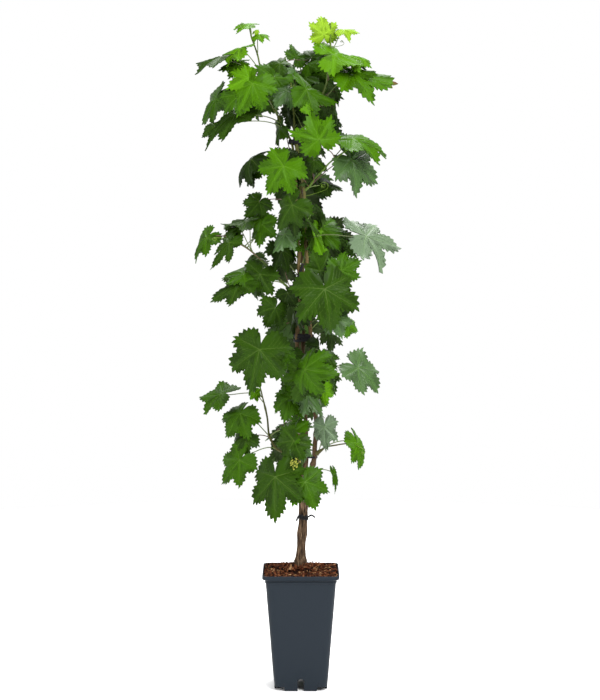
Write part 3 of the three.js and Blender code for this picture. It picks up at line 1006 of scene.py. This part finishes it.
def leaf_materials(settings):
    """Plain colours for the blades, their undersides and veins, tone by tone. Each blade tone has a lighter
    copy, painted light along the main veins, and a darker copy, painted shade between the veins.
    """
    grey = shade(98, 112, 78)
    vein_light = shade(112, 130, 62)
    under_light = shade(112, 126, 76)
    blades = []
    unders = []
    veins = []
    under_veins = []
    for tone in TONES:
        colour = tuple(getattr(settings, tone))
        rough = 0.50 if tone in ("young", "fresh") else 0.40
        sheen = 0.26 if tone in ("bloomed", "pale") else 0.06
        # The darker copy of each tone is painted shade between the veins.
        painted_shade = scaled(colour, 0.70)
        # The lighter copy of each tone is painted light along the main veins.
        for suffix, shown in (("", colour), ("_near_vein", scaled(colour, 1.16)), ("_patch", painted_shade)):
            blades.append(plain_material(f"leaf_{tone}{suffix}", shown, rough, sheen))
        under = mixed(scaled(colour, 1.25), grey, 0.22)
        vein = mixed(scaled(colour, 1.35), vein_light, 0.14)
        under_vein = mixed(colour, under_light, 0.4)
        unders.append(plain_material(f"leaf_{tone}_under", under, 0.75, 0.1))
        veins.append(plain_material(f"vein_{tone}", vein, 0.5, 0.1))
        under_veins.append(plain_material(f"vein_{tone}_under", under_vein, 0.6, 0.05))
    dry = plain_material("leaf_dry", shade(92, 72, 46), 0.8, 0.05)
    return blades + unders + veins + under_veins + [dry]


# ---------------------------------------------------------------- where the leaves are

# For each mass of leaves, its leaves: stalk end from the middle of the mass (across, back, up),
# blade length, all in millimetres, then the roll of the tip in degrees from hanging straight down
# (to the right is positive), the tone, and what is special about the leaf: lift is how far its face
# tips up in degrees, turn its bearing from the mass's own, fold how its halves close, narrow its
# width, lobing its cuts and dry the share of its tip that is dry. A hero or flat leaf bends little.
FRONT_LEAVES = {
    "leaves_tip_left": (
        (-4, 0, 13, 32, -93, "fresh", {"lift": 68}), (16, 0, -4, 26, 96, "fresh", {"lift": 66}),
        (8, 6, 2, 12, 160, "young", {}),
    ),
    "leaves_tip_right": (
        (-2, 0, -13, 37, -176, "young", {"lift": -12, "fold": 0.05, "turn": 0}),
        (36, 0, -5, 30, 88, "young", {"lift": 70}),
    ),
    "leaves_top_left": (
        (34, -10, 22, 44, -90, "fresh", {"lift": 56, "turn": 0}),
        (-2, 0, 6, 64, -84, "deep", {"lift": 70, "turn": -10}),
        (30, 8, -4, 40, -74, "middle", {"lift": 50}),
    ),
    "leaves_top_right": (
        (-14, 0, 7, 68, 98, "fresh", {"lift": 54, "turn": 0}), (16, 6, 6, 46, 74, "fresh", {"lift": 62}),
        (-24, 14, 10, 36, 150, "middle", {}),
    ),
    "leaves_crown_left": (
        (4, 0, 20, 40, -110, "deep", {"lift": 34}), (-8, -8, -6, 52, -20, "middle", {}),
        (8, 4, 8, 34, 150, "bloomed", {"lift": 24, "turn": 0}),
    ),
    "leaves_crown_middle": (
        (-15, 0, 10, 32, 137, "middle", {}), (16, 6, 10, 34, 152, "deep", {"lift": 26}),
        (9, 0, -4, 36, 124, "lush", {"lift": 40}), (-14, -6, -24, 34, 150, "deep", {}),
        (4, -10, -30, 36, 20, "middle", {}),
    ),
    "leaves_upper_left": (
        (14, 0, 14, 66, -24, "lush", {"turn": 6}), (6, 10, 26, 42, -64, "fresh", {}),
        (-14, 6, -10, 40, -50, "middle", {}),
    ),
    "leaves_outer_left": (
        (-6, -10, 0, 60, -42, "middle", {"turn": 10, "flat": 1}),
        (2, 6, 16, 40, -74, "deep", {"lift": 50}),
    ),
    "leaves_long_left": (
        (4, -6, 18, 88, -50, "deep", {"fold": -0.5, "lift": 40, "turn": 0, "narrow": 0.38}),
        (-38, 8, -4, 36, -56, "deep", {"fold": -0.4, "narrow": 0.7}),
    ),
    "leaves_upper_right": (
        (-28, 0, 13, 84, 70, "lush", {"lift": 62, "dry": 0.05, "turn": 0, "fold": -0.1}),
        (-26, 8, 22, 48, 64, "middle", {"lift": 60}),
    ),
    "leaves_inner_right": (
        (-16, 0, 6, 60, 60, "middle", {}), (-20, -14, -20, 32, 132, "fresh", {"lift": 34}),
    ),
    "leaves_inner_left": ((4, 0, 36, 42, -36, "bloomed", {}), (8, 66, 0, 44, 6, "dark", {})),
    "leaves_neck_right": ((-14, 0, -22, 52, -158, "lush", {"lift": -8, "fold": 0.15, "turn": 0}),),
    "leaves_shoulder_right": (
        (-23, -12, 14, 92, 79, "lush", {"lift": 66, "dry": 0.06, "turn": 0, "narrow": 0.7, "fold": -0.1}),
    ),
    "leaves_left_high": (
        (-6, -14, 18, 72, -50, "dark", {"fold": -0.6, "turn": 0, "narrow": 0.7}),
        (-6, 4, 0, 40, -46, "deep", {"fold": -0.4}),
    ),
    "leaves_left_bright": ((12, 6, 26, 62, -34, "lush", {}),),
    "leaves_middle_high": (
        (-26, 0, 12, 40, 190, "dark", {}), (-8, 64, 0, 50, 24, "dark", {}),
        (8, 20, 18, 36, 60, "deep", {}),
    ),
    "leaves_right_high": (
        (-8, -10, 38, 78, 58, "bloomed", {"lift": 20, "turn": 0, "fold": 0.0, "flat": 1}),
        (-58, -20, -10, 36, 74, "dark", {}),
    ),
    "leaves_middle_left": ((16, 4, 22, 56, -38, "deep", {}), (18, 12, 0, 38, 4, "dark", {})),
    "leaves_middle_right": ((-12, 0, -8, 40, 104, "deep", {}),),
    "leaves_far_left": ((10, -2, 13, 50, -32, "middle", {"turn": 20, "narrow": 0.8}),),
    "leaves_left_lobed": ((17, 0, 18, 56, -26, "deep", {"lobing": 1.9, "turn": 10, "narrow": 0.52}),),
    "leaves_left_inner": (
        (-20, 0, 5, 50, -94, "deep", {"lift": 70, "turn": 0}),
        (8, 0, 10, 38, -120, "middle", {"lift": 40}), (-36, 10, -6, 42, -104, "deep", {"lift": 54}),
        (10, -8, 0, 44, 6, "middle", {}), (4, 0, 44, 40, -38, "deep", {}),
    ),
    "leaves_heart_left": ((2, 10, 36, 42, -6, "bloomed", {}), (-6, 54, 6, 48, 16, "dark", {})),
    "leaves_heart_right": (
        (-36, -8, 14, 50, 18, "fresh", {}), (-22, 0, 22, 56, 50, "middle", {"lift": 36}),
    ),
    "leaves_far_right": (
        (-23, 0, 4, 81, 75, "pale", {"lift": 44, "lobing": 1.9, "turn": 4, "fold": -0.1, "flat": 1}),
    ),
    "leaves_broad_right": (
        (-8, -6, 6, 84, 10, "deep", {"hero": 1}), (14, 24, -50, 38, 22, "bloomed", {}),
        (38, 40, -62, 30, 60, "lush", {}), (-16, 20, 40, 42, 150, "deep", {}),
        (24, 22, 40, 42, 120, "middle", {}),
    ),
    "leaves_spread_left": (
        (38, 0, 22, 50, -22, "deep", {}),
        (2, 0, 4, 70, -54, "deep", {"fold": -0.4, "narrow": 0.6, "turn": 0}),
        (6, 10, 22, 42, -96, "middle", {"lift": 50}),
    ),
    "leaves_waist": (
        (-24, -10, 6, 44, -34, "deep", {}), (0, 10, 34, 34, 26, "dark", {}),
        (26, 0, -2, 42, -4, "dark", {}),
    ),
    "leaves_broad_left": (
        (-5, 0, 15, 80, -8, "deep", {"hero": 1}), (30, 14, 8, 50, 34, "middle", {}),
        (-18, 16, 26, 38, -60, "deep", {}),
    ),
    "leaves_broad_middle": (
        (-24, -8, 10, 68, 90, "middle", {"lift": 22}), (-22, 6, -2, 56, -24, "deep", {"turn": 0}),
        (14, 36, 34, 34, 34, "deep", {}),
    ),
    "leaves_low_right": ((-5, 0, 7, 62, 42, "bloomed", {"turn": 0, "fold": -0.1, "flat": 1}),),
    "leaves_hip": (
        (2, -6, 16, 50, 24, "bloomed", {}), (-30, -20, 12, 50, -14, "middle", {"turn": 0}),
        (32, 10, 24, 34, 10, "fresh", {}), (-10, -12, 14, 52, -24, "middle", {}),
    ),
    "leaves_skirt_outer": ((11, 0, 5, 56, -78, "middle", {"lift": 56, "turn": 0, "flat": 1}),),
    "leaves_skirt_left": (
        (22, 2, 46, 18, 20, "fresh", {}), (-6, 0, 5, 57, -26, "middle", {"lift": 34, "turn": 0}),
    ),
    "leaves_skirt_low": (
        (14, 8, 42, 40, -48, "deep", {}),
        (2, 0, -2, 64, -42, "middle", {"flat": 1, "turn": 0, "narrow": 0.8}),
    ),
    "leaves_skirt_middle": (
        (-4, 8, 14, 44, -112, "middle", {"lift": 36}), (-4, -4, -2, 46, -30, "deep", {}),
        (8, 2, -16, 32, 66, "bloomed", {}),
    ),
    "leaves_skirt_inner": (
        (-10, 0, 10, 46, 4, "pale", {"narrow": 0.75}),
        (8, 0, -82, 36, 4, "middle", {"narrow": 0.22, "turn": 0}),
    ),
    "leaves_skirt_right": ((-4, 0, 9, 60, 14, "lush", {"narrow": 0.50, "turn": 0}),),
    "leaves_foot_left": ((6, 0, 27, 80, 6, "deep", {"hero": 1, "fold": -0.26, "narrow": 0.94}),),
    "leaves_foot_right": ((-9, 0, 14, 56, 20, "middle", {"turn": 0, "flat": 1, "fold": -0.24}),),
}
BACK_SPOTS = ((0, 0, 20, 0), (-22, 6, 2, -44), (22, 4, 4, 44), (0, -14, -16, 8))
# For some masses at the back, the number of the spot that stays bare, so that the sky shows past it.
BARE_SPOTS = {
    "leaves_back_left": 3, "leaves_back_waist": 3, "leaves_back_foot": 1, "leaves_back_heart": 2,
    "leaves_back_crown": 2, "leaves_back_neck": 2,
}
INNER_FOOT = 0.470
INNER_TOP = 1.200
INNER_STEP = 0.0165
LEAF_TURN = 137.5
OPEN_HEIGHT = 0.6
OPEN_SIDE = 0.35


def inner_leaves(rng):
    """Leaves close round the canes, turned to every side but the front, from the foot of the crown up."""
    canes = np.vstack([smooth_path(centreline(name)[0], STEM_STEPS) for name in CANES])
    masses = [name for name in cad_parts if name.startswith("leaves_")]
    middles = np.array([cad_middle(name) for name in masses])
    leaves = []
    bearing = 0.0
    for height in np.arange(INNER_FOOT, INNER_TOP, INNER_STEP):
        bearing = (bearing + LEAF_TURN) % 360
        turn = bearing + rng.normal(0, 10)
        if 215 < turn % 360 < 325:
            turn += 150
        out = np.array([math.cos(math.radians(turn)), math.sin(math.radians(turn)), 0.0])
        if height < OPEN_HEIGHT and out[0] > OPEN_SIDE:
            # Low on the right the crown is open.
            continue
        level = canes[np.abs(canes[:, 2] - height) < 0.01]
        stem = level[np.argmax(level @ out)]
        reach = 0.013 + 0.044 * max(0.0, out[1])
        place = stem + out * reach * rng.uniform(0.75, 1.2) + UP * rng.uniform(-0.005, 0.012)
        lift = rng.uniform(4, 16) + 26 * max(0.0, out[1])
        forward, normal = leaf_directions(out, rng.normal(0, 14), lift, rng.normal(0, 22))
        length = rng.uniform(40, 54) * MM * (1 - 0.25 * abs(out[0]))
        # The dark tone among these is painted shade for leaves deep in the crown.
        tone = rng.choice(["middle", "deep", "deep", "dark", "dark"])
        node = masses[int(np.argmin(np.linalg.norm(middles - place, axis=1)))]
        leaves.append((node, place, forward, normal, length, tone, leaf_habit(rng, {}), 0))
    return leaves


def leaf_habit(rng, special):
    """How a leaf bends, partly by chance and partly by what is special about it."""
    habit = {
        "fold": rng.normal(-0.20, 0.22),
        "droop": rng.uniform(0.25, 1.25),
        "arch": rng.uniform(0.05, 0.95),
        "wave": rng.uniform(0.10, 0.20),
        "twist": rng.normal(0, 0.28),
        "width": 1.0,
    }
    if special.get("hero"):
        habit.update({"fold": -0.16, "droop": 0.45, "arch": 0.30, "twist": 0.05})
    if special.get("flat"):
        habit.update({"fold": -0.16, "droop": 0.40, "arch": 0.25, "twist": 0.0})
    if "fold" in special:
        habit["fold"] = special["fold"]
    if "narrow" in special:
        habit["width"] = special["narrow"]
    habit["lobing"] = special.get("lobing", 1.0)
    return habit


def leaf_directions(facing, turn, lift, roll):
    """Forward and normal directions of a leaf that faces a bearing, tips up and rolls about itself."""
    bearing = math.atan2(facing[1], facing[0]) + math.radians(turn)
    tip = math.asin(max(-1, min(1, facing[2]))) if lift is None else math.radians(lift)
    level = np.array([math.cos(bearing), math.sin(bearing), 0.0])
    normal = level * math.cos(tip) + UP * math.sin(tip)
    downhill = level * math.sin(tip) - UP * math.cos(tip)
    angle = math.radians(roll)
    forward = downhill * math.cos(angle) + np.cross(normal, downhill) * math.sin(angle)
    return forward, normal


def all_leaves():
    """Every leaf of the plant: its mass, stalk end, forward, normal, length, tone, habit and dry tip."""
    leaves = []
    for seed, (node, rows) in enumerate(FRONT_LEAVES.items()):
        rng = np.random.default_rng([20, seed])
        middle = cad_middle(node)
        facing = cad_facing(node)
        for x, y, z, length, roll, tone, special in rows:
            turn = special.get("turn", rng.normal(0, 9 if special.get("hero") else 24))
            lift = special.get("lift")
            if lift is None:
                level = math.degrees(math.asin(facing[2]))
                lift = level + (0 if special.get("hero") else rng.normal(2, 14))
            forward, normal = leaf_directions(facing, turn, lift, roll)
            place = middle + np.array([x, y, z]) * MM
            habit = leaf_habit(rng, special)
            leaves.append((node, place, forward, normal, length * MM, tone, habit, special.get("dry", 0)))
    leaves.extend(inner_leaves(np.random.default_rng(21)))
    rng = np.random.default_rng(22)
    for node in sorted(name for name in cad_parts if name.startswith("leaves_back_")):
        middle = cad_middle(node)
        facing = cad_facing(node)
        for number, (x, y, z, roll) in enumerate(BACK_SPOTS):
            spread = rng.normal(0, 5, 3)
            if BARE_SPOTS.get(node) == number:
                continue
            across = np.array([-facing[1], facing[0], 0])
            place = middle + (across * (x + spread[0]) + unit(facing) * y + UP * (z + spread[2])) * MM
            forward, normal = leaf_directions(
                facing, rng.normal(0, 14), 24 + rng.normal(0, 10), roll + rng.normal(0, 12))
            length = rng.uniform(44, 60) * MM
            if place[2] > 1.15:
                tone = rng.choice(["fresh", "middle", "middle"])
            else:
                # Lower down, the dark tone is painted shade and the grey sheen tone is painted reflection.
                tone = rng.choice(["middle", "deep", "deep", "bloomed", "dark"])
            leaves.append((node, place, forward, normal, length, tone, leaf_habit(rng, {}), 0))
    return leaves


def stalk_path(leaf, places, rng):
    """The leaf stalk's path, from a point on a cane or shoot to the blade."""
    _, place, forward, normal, length, *_ = leaf
    wanted = length * rng.uniform(0.75, 1.25) + 0.012
    gap = places - place
    reach = np.linalg.norm(gap, axis=1)
    above = np.maximum(0, gap[:, 2] + 0.004)
    cost = np.abs(reach - wanted) + 2.5 * above + 0.35 * reach
    start = int(np.argmin(cost))
    foot = places[start]
    away = place - foot
    span = np.linalg.norm(away)
    level = unit(np.array([away[0], away[1], 0.0]))
    leave = unit(level * 0.75 + UP * 0.65) * span
    arrive = unit(forward * 0.9 + normal * 0.35 + unit(away) * 0.5) * span * 0.9
    t = np.linspace(0, 1, 14)[:, None]
    return (
        foot * (2 * t ** 3 - 3 * t ** 2 + 1) + leave * (t ** 3 - 2 * t ** 2 + t)
        + place * (3 * t ** 2 - 2 * t ** 3) + arrive * (t ** 3 - t ** 2)
    )


class GRAPEVINE_OT_leaves(bpy.types.Operator):
    """Make every leaf, in joined pieces by height, and the leaf stalks"""

    bl_idname = "grapevine.leaves"
    bl_label = "Leaves and stalks"

    def execute(self, context):
        settings = context.scene.grapevine_leaves
        rng = np.random.default_rng(4)
        leaves = all_leaves()
        masses = [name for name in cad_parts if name.startswith("leaves_")]
        missing = set(masses) - {leaf[0] for leaf in leaves}
        if missing:
            raise RuntimeError("no leaves for " + ", ".join(sorted(missing)))
        masses.sort(key=lambda name: cad_middle(name)[2])
        materials = leaf_materials(settings)
        groups = np.array_split(np.array(masses), 6)
        names = (
            "leaves_foot", "leaves_skirt", "leaves_waist",
            "leaves_middle", "leaves_shoulder", "leaves_crown",
        )
        for name, group in zip(names, groups):
            heap = Heap()
            for leaf in leaves:
                if leaf[0] in group:
                    _, place, forward, normal, length, tone, habit, dry = leaf
                    add_leaf(heap, rng, settings, place, forward, normal, length, tone, habit, dry)
            piece = heap.build(name + "_blades", materials)
            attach(piece, "root")
            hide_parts(*group)
        self.add_stalks(leaves, rng)
        return {"FINISHED"}

    def add_stalks(self, leaves, rng):
        """The stalks of all the leaves, as one piece."""
        places = stem_samples()
        heap = Heap()
        tones = ((92, 112, 46), (78, 92, 42), (84, 62, 46), (66, 80, 36), (104, 128, 50))
        materials = [plain_material(f"stalk_{n}", shade(*tone), 0.5) for n, tone in enumerate(tones)]
        for leaf in leaves:
            path = stalk_path(leaf, places, rng)
            t = np.linspace(0, 1, len(path))
            thick = 0.00085 + 0.00028 * min(1.0, leaf[4] / 0.08)
            radii = thick * (1 - 0.22 * t + 0.9 * np.exp(-t / 0.03) + 0.5 * np.exp(-(1 - t) / 0.03))
            points, faces = tube(path, radii, 7)
            young = leaf[5] in ("young", "fresh")
            heap.add(points, faces, rng.choice([0, 4] if young else [0, 1, 2, 3]))
        piece = heap.build("leaf_stalks", materials)
        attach(piece, "root")


# ---------------------------------------------------------------- ties, tendrils and flower buds

TRUNK_TIE_HEIGHT = 0.330
TIE_STRAP_HEIGHT = 0.806
FLOWER_BUDS = 90


def band(middle, across, deep, axis, height, thick):
    """A flat elastic band round an oval. It stands along its axis."""
    axis = unit(np.asarray(axis, dtype=float))
    first = unit(np.cross(axis, np.array([0.0, 1.0, 0.0])))
    second = np.cross(axis, first)
    turn = np.linspace(0, 2 * math.pi, 49)[:, None]
    centre = middle + across * np.cos(turn) * first + deep * np.sin(turn) * second
    outward = deep * np.cos(turn) * first + across * np.sin(turn) * second
    outward /= np.linalg.norm(outward, axis=1)[:, None]
    section = np.linspace(0, 2 * math.pi, 12, endpoint=False)
    square_x = np.sign(np.cos(section)) * np.abs(np.cos(section)) ** 0.45
    square_y = np.sign(np.sin(section)) * np.abs(np.sin(section)) ** 0.45
    points = (
        centre[:, None, :] + outward[:, None, :] * (square_x * thick / 2)[None, :, None]
        + axis[None, None, :] * (square_y * height / 2)[None, :, None]
    )
    return points.reshape(-1, 3), grid_faces(len(turn), len(section), closed=True)


def stems_at(height, names):
    """Where the named canes pass a height, and how thick they are there."""
    spots = []
    for name in names:
        middles, radii = centreline(name)
        spot = [np.interp(height, middles[:, 2], middles[:, axis]) for axis in (0, 1)]
        spots.append([*spot, float(np.interp(height, middles[:, 2], radii))])
    return np.array(spots)


class GRAPEVINE_OT_ties(bpy.types.Operator):
    """Make the black ties round the canes and the knotted tie on the trunk"""

    bl_idname = "grapevine.ties"
    bl_label = "Ties"

    def execute(self, context):
        heap = Heap()
        wraps = (
            (0.690, CANES, (0.05, 0.0, 1.0), 0.0085, 0.0022),
            (0.683, CANES, (-0.10, 0.0, 1.0), 0.0060, 0.0026),
            (1.066, CANES, (0.10, 0.1, 1.0), 0.0080, 0.0022),
            (TIE_STRAP_HEIGHT, CANES[:1], (-0.95, 0.2, 0.9), 0.0070, 0.0020),
            (0.452, CANES[1:], (0.06, 0.0, 1.0), 0.0045, 0.0018),
        )
        for height, names, axis, tall, thick in wraps:
            spots = stems_at(height, names)
            low = (spots[:, :2] - spots[:, 2:]).min(axis=0)
            high = (spots[:, :2] + spots[:, 2:]).max(axis=0)
            middle = np.array([*((low + high) / 2), height])
            half = (high - low) / 2 * 1.06 + thick / 2
            heap.add(*band(middle, half[0], half[1], axis, tall, thick), 0)
        middles, radii = centreline("trunk")
        level = TRUNK_TIE_HEIGHT
        spot = np.array([*(np.interp(level, middles[:, 2], middles[:, axis]) for axis in (0, 1)), level])
        size = float(np.interp(level, middles[:, 2], radii)) + 0.0012
        for rise, lean in ((-0.002, 0.16), (0.0018, -0.12)):
            heap.add(*band(spot + UP * rise, size, size, (lean, 0.1, 1), 0.0046, 0.0032), 0)
        front = spot + np.array([0.004, -size - 0.001, 0.0])
        ends = (
            ((0, 0, 0), (-0.007, -0.003, 0.006), (-0.013, 0.000, 0.004), (-0.017, 0.002, -0.006)),
            ((0, 0, 0), (0.006, -0.003, 0.003), (0.013, -0.001, 0.006), (0.019, 0.002, 0.001)),
            ((-0.003, 0, -0.003), (0.000, -0.003, 0.003), (0.004, -0.002, 0.004), (0.005, 0, -0.003)),
        )
        for end in ends:
            path = front + smooth_path(np.array(end, dtype=float), 18)
            heap.add(*tube(path, 0.0017, 8), 0)
        middle = stems_at(TIE_STRAP_HEIGHT, CANES[:1])[0]
        strap = np.array([
            (0.005, -0.008, 0.832), (0.001, -0.010, 0.818),
            (-0.006, -0.009, 0.802), (-0.014, -0.010, 0.788),
        ])
        strap[:, 0] += middle[0] + 0.002
        strap[:, 1] += middle[1]
        heap.add(*tube(smooth_path(strap, 16), 0.0026, 8), 0)
        rubber = grained_material("tie_rubber", (shade(16, 16, 18), shade(34, 34, 36)), 900, 0.55, 0.2)
        ties = heap.build("plant_ties", [rubber])
        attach(ties, "root")
        return {"FINISHED"}


def tendril(rng, start, heading, length, turns):
    """A tendril: it runs out straight and then coils up tighter and tighter."""
    t = np.linspace(0, 1, 70)
    heading = unit(heading)
    side = unit(np.cross(heading, unit(rng.normal(0, 1, 3))))
    drift = np.cross(heading, side)
    turn = 2 * math.pi * turns * np.maximum(0, t - 0.35) ** 2 / 0.42 + 0.5 * t
    step = np.cos(turn)[:, None] * heading + np.sin(turn)[:, None] * side + 0.22 * t[:, None] * drift
    path = start + np.cumsum(step, axis=0) * length / len(t)
    return path, 0.00062 * (1 - 0.5 * t)


class GRAPEVINE_OT_tendrils(bpy.types.Operator):
    """Make the tendrils at the shoots' ends and the young flower cluster"""

    bl_idname = "grapevine.tendrils"
    bl_label = "Tendrils and flower buds"

    def execute(self, context):
        rng = np.random.default_rng(11)
        places = stem_samples()
        heap = Heap()
        spots = (
            (0.058, 1.245, (0.9, 0.4, 0.1), 0.040), (-0.070, 1.185, (-0.8, -0.3, 0.5), 0.050),
            (0.004, 0.960, (0.9, -0.5, 0.2), 0.085), (-0.084, 0.601, (-0.2, -0.3, 0.9), 0.060),
            (0.098, 0.482, (0.8, -0.2, -0.3), 0.045), (-0.136, 0.880, (-0.9, -0.2, 0.1), 0.050),
            (-0.010, 0.740, (0.3, 0.9, 0.3), 0.080),
        )
        for x, z, heading, length in spots:
            nearest = np.argmin(np.hypot(places[:, 0] - x, places[:, 2] - z))
            path, radii = tendril(
                rng, places[nearest], np.array(heading), length * 1.5, rng.uniform(1.6, 2.6))
            heap.add(*tube(path, radii, 6), 0)
        curls = heap.build("tendrils", [plain_material("tendril", shade(96, 122, 42), 0.5, 0.1)])
        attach(curls, "root")

        heap = Heap()
        foot = places[np.argmin(np.linalg.norm(places - np.array([-0.005, 0.010, 0.462]), axis=1))]
        stalk = smooth_path(np.array([foot, foot + (-0.002, -0.030, 0.010), foot + (-0.004, -0.080, 0.002),
                                      foot + (-0.008, -0.134, -0.010)]), 40)
        heap.add(*tube(stalk, 0.0009, 7), 0)
        for number in range(FLOWER_BUDS):
            t = 0.55 + 0.45 * number / FLOWER_BUDS
            root = stalk[int(t * 39)]
            size = 0.016 * (1.15 - t) + 0.004
            tip = root + unit(rng.normal(0, 1, 3) + (0, -0.2, -0.2)) * size * rng.uniform(0.6, 1.2)
            heap.add(*tube(np.linspace(root, tip, 3), 0.0003, 4), 0)
            bud = tip + np.linspace(-1, 1, 5)[:, None] * unit(tip - root) * 0.0013
            heap.add(*tube(bud, np.array([0.3, 1.0, 1.25, 1.0, 0.3]) * 0.0013, 7), 1)
        buds = heap.build("flower_buds", [
            plain_material("flower_stalk", shade(92, 108, 40), 0.6, 0.1),
            plain_material("flower_bud", shade(140, 142, 58), 0.6, 0.1),
        ])
        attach(buds, "root")
        return {"FINISHED"}


# ---------------------------------------------------------------- stage

FLOOR_RADIUS = 2.4
FLOOR_LEVEL = -0.0004
FLOOR_SIDES = 96
AIM_HEIGHT = 0.75
LENS = 92
CAMERA_PLACE = (-0.0016, -3.485, 0.8975)
CAMERA_TILT = 90 - 3.85


class GRAPEVINE_OT_stage(bpy.types.Operator):
    """Set the floor, the lights and the camera"""

    bl_idname = "grapevine.stage"
    bl_label = "Stage"

    def execute(self, context):
        scene = context.scene
        settings = scene.grapevine_stage
        heap = Heap()
        turn = np.linspace(0, 2 * math.pi, FLOOR_SIDES, endpoint=False)
        rim = np.column_stack([
            FLOOR_RADIUS * np.cos(turn), FLOOR_RADIUS * np.sin(turn), np.full(FLOOR_SIDES, FLOOR_LEVEL)])
        around = np.arange(FLOOR_SIDES)
        disc = np.stack([np.full(FLOOR_SIDES, FLOOR_SIDES), around, (around + 1) % FLOOR_SIDES], 1)
        heap.add(np.vstack([rim, [0, 0, FLOOR_LEVEL]]), disc, 0)
        floor = heap.build("studio_floor", [plain_material("studio_floor", (1.0, 1.0, 1.0), 1.0, 0.0)])
        world = bpy.data.worlds.new("studio")
        scene.world = world
        world.use_nodes = True
        nodes = world.node_tree.nodes
        links = world.node_tree.links
        surround = nodes["Background"]
        surround.inputs["Color"].default_value = (1, 1, 1, 1)
        place = nodes.new("ShaderNodeTexCoord")
        parts = nodes.new("ShaderNodeSeparateXYZ")
        links.new(place.outputs["Generated"], parts.inputs["Vector"])
        wall = nodes.new("ShaderNodeMapRange")
        wall.interpolation_type = "SMOOTHSTEP"
        wall.inputs["From Min"].default_value = -0.75
        wall.inputs["From Max"].default_value = 0.55
        wall.inputs["To Min"].default_value = settings.surround * settings.front_share
        wall.inputs["To Max"].default_value = settings.surround
        links.new(parts.outputs["Y"], wall.inputs["Value"])
        links.new(wall.outputs["Result"], surround.inputs["Strength"])
        lamps = (
            ("key", (1.6, -2.6, 3.0), 2.2, settings.key_power),
            ("fill", (-2.6, -2.0, 1.6), 2.0, settings.key_power * 0.26),
            ("top", (0.2, 1.4, 3.4), 2.0, settings.key_power * 0.5),
        )
        for name, place, size, power in lamps:
            light = bpy.data.lights.new(name, "AREA")
            light.size = size
            light.energy = power
            lamp = bpy.data.objects.new(name, light)
            lamp.location = place
            aim = Vector((0, 0, AIM_HEIGHT)) - Vector(place)
            lamp.rotation_euler = aim.to_track_quat("-Z", "Y").to_euler()
            scene.collection.objects.link(lamp)
        lens = bpy.data.cameras.new("camera")
        lens.lens = LENS
        camera = bpy.data.objects.new("camera", lens)
        camera.location = CAMERA_PLACE
        camera.rotation_euler = (math.radians(CAMERA_TILT), 0, 0)
        scene.collection.objects.link(camera)
        scene.camera = camera
        scene.view_settings.view_transform = "Standard"
        return {"FINISHED"}


# ---------------------------------------------------------------- panel and registration


class GRAPEVINE_PT_panel(bpy.types.Panel):
    """Lists the parts of the grapevine and their settings"""

    bl_idname = "GRAPEVINE_PT_panel"
    bl_label = "Grapevine"
    bl_space_type = "VIEW_3D"
    bl_region_type = "UI"
    bl_category = "Grapevine"

    def draw(self, context):
        for name in SETTINGS:
            box = self.layout.box()
            group = getattr(context.scene, name)
            for prop in group.bl_rna.properties:
                if prop.identifier not in ("rna_type", "name"):
                    box.prop(group, prop.identifier)
        for operator in OPERATORS:
            self.layout.operator(operator.bl_idname)


OPERATORS = (
    GRAPEVINE_OT_pot,
    GRAPEVINE_OT_growing_mix,
    GRAPEVINE_OT_trunk,
    GRAPEVINE_OT_canes,
    GRAPEVINE_OT_leaves,
    GRAPEVINE_OT_ties,
    GRAPEVINE_OT_tendrils,
    GRAPEVINE_OT_stage,
)


def register():
    """Registers the settings, the operators and the panel."""
    for name, group in SETTINGS.items():
        bpy.utils.register_class(group)
        setattr(bpy.types.Scene, name, bpy.props.PointerProperty(type=group))
    for operator in OPERATORS:
        bpy.utils.register_class(operator)
    bpy.utils.register_class(GRAPEVINE_PT_panel)


def unregister():
    """Takes everything back out of Blender."""
    bpy.utils.unregister_class(GRAPEVINE_PT_panel)
    for operator in reversed(OPERATORS):
        bpy.utils.unregister_class(operator)
    for name, group in SETTINGS.items():
        delattr(bpy.types.Scene, name)
        bpy.utils.unregister_class(group)


def main():
    """Builds every part in order."""
    register()
    bpy.ops.grapevine.pot()
    bpy.ops.grapevine.growing_mix()
    bpy.ops.grapevine.trunk()
    bpy.ops.grapevine.canes()
    bpy.ops.grapevine.leaves()
    bpy.ops.grapevine.ties()
    bpy.ops.grapevine.tendrils()
    bpy.ops.grapevine.stage()
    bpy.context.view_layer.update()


if __name__ == "__main__":
    main()
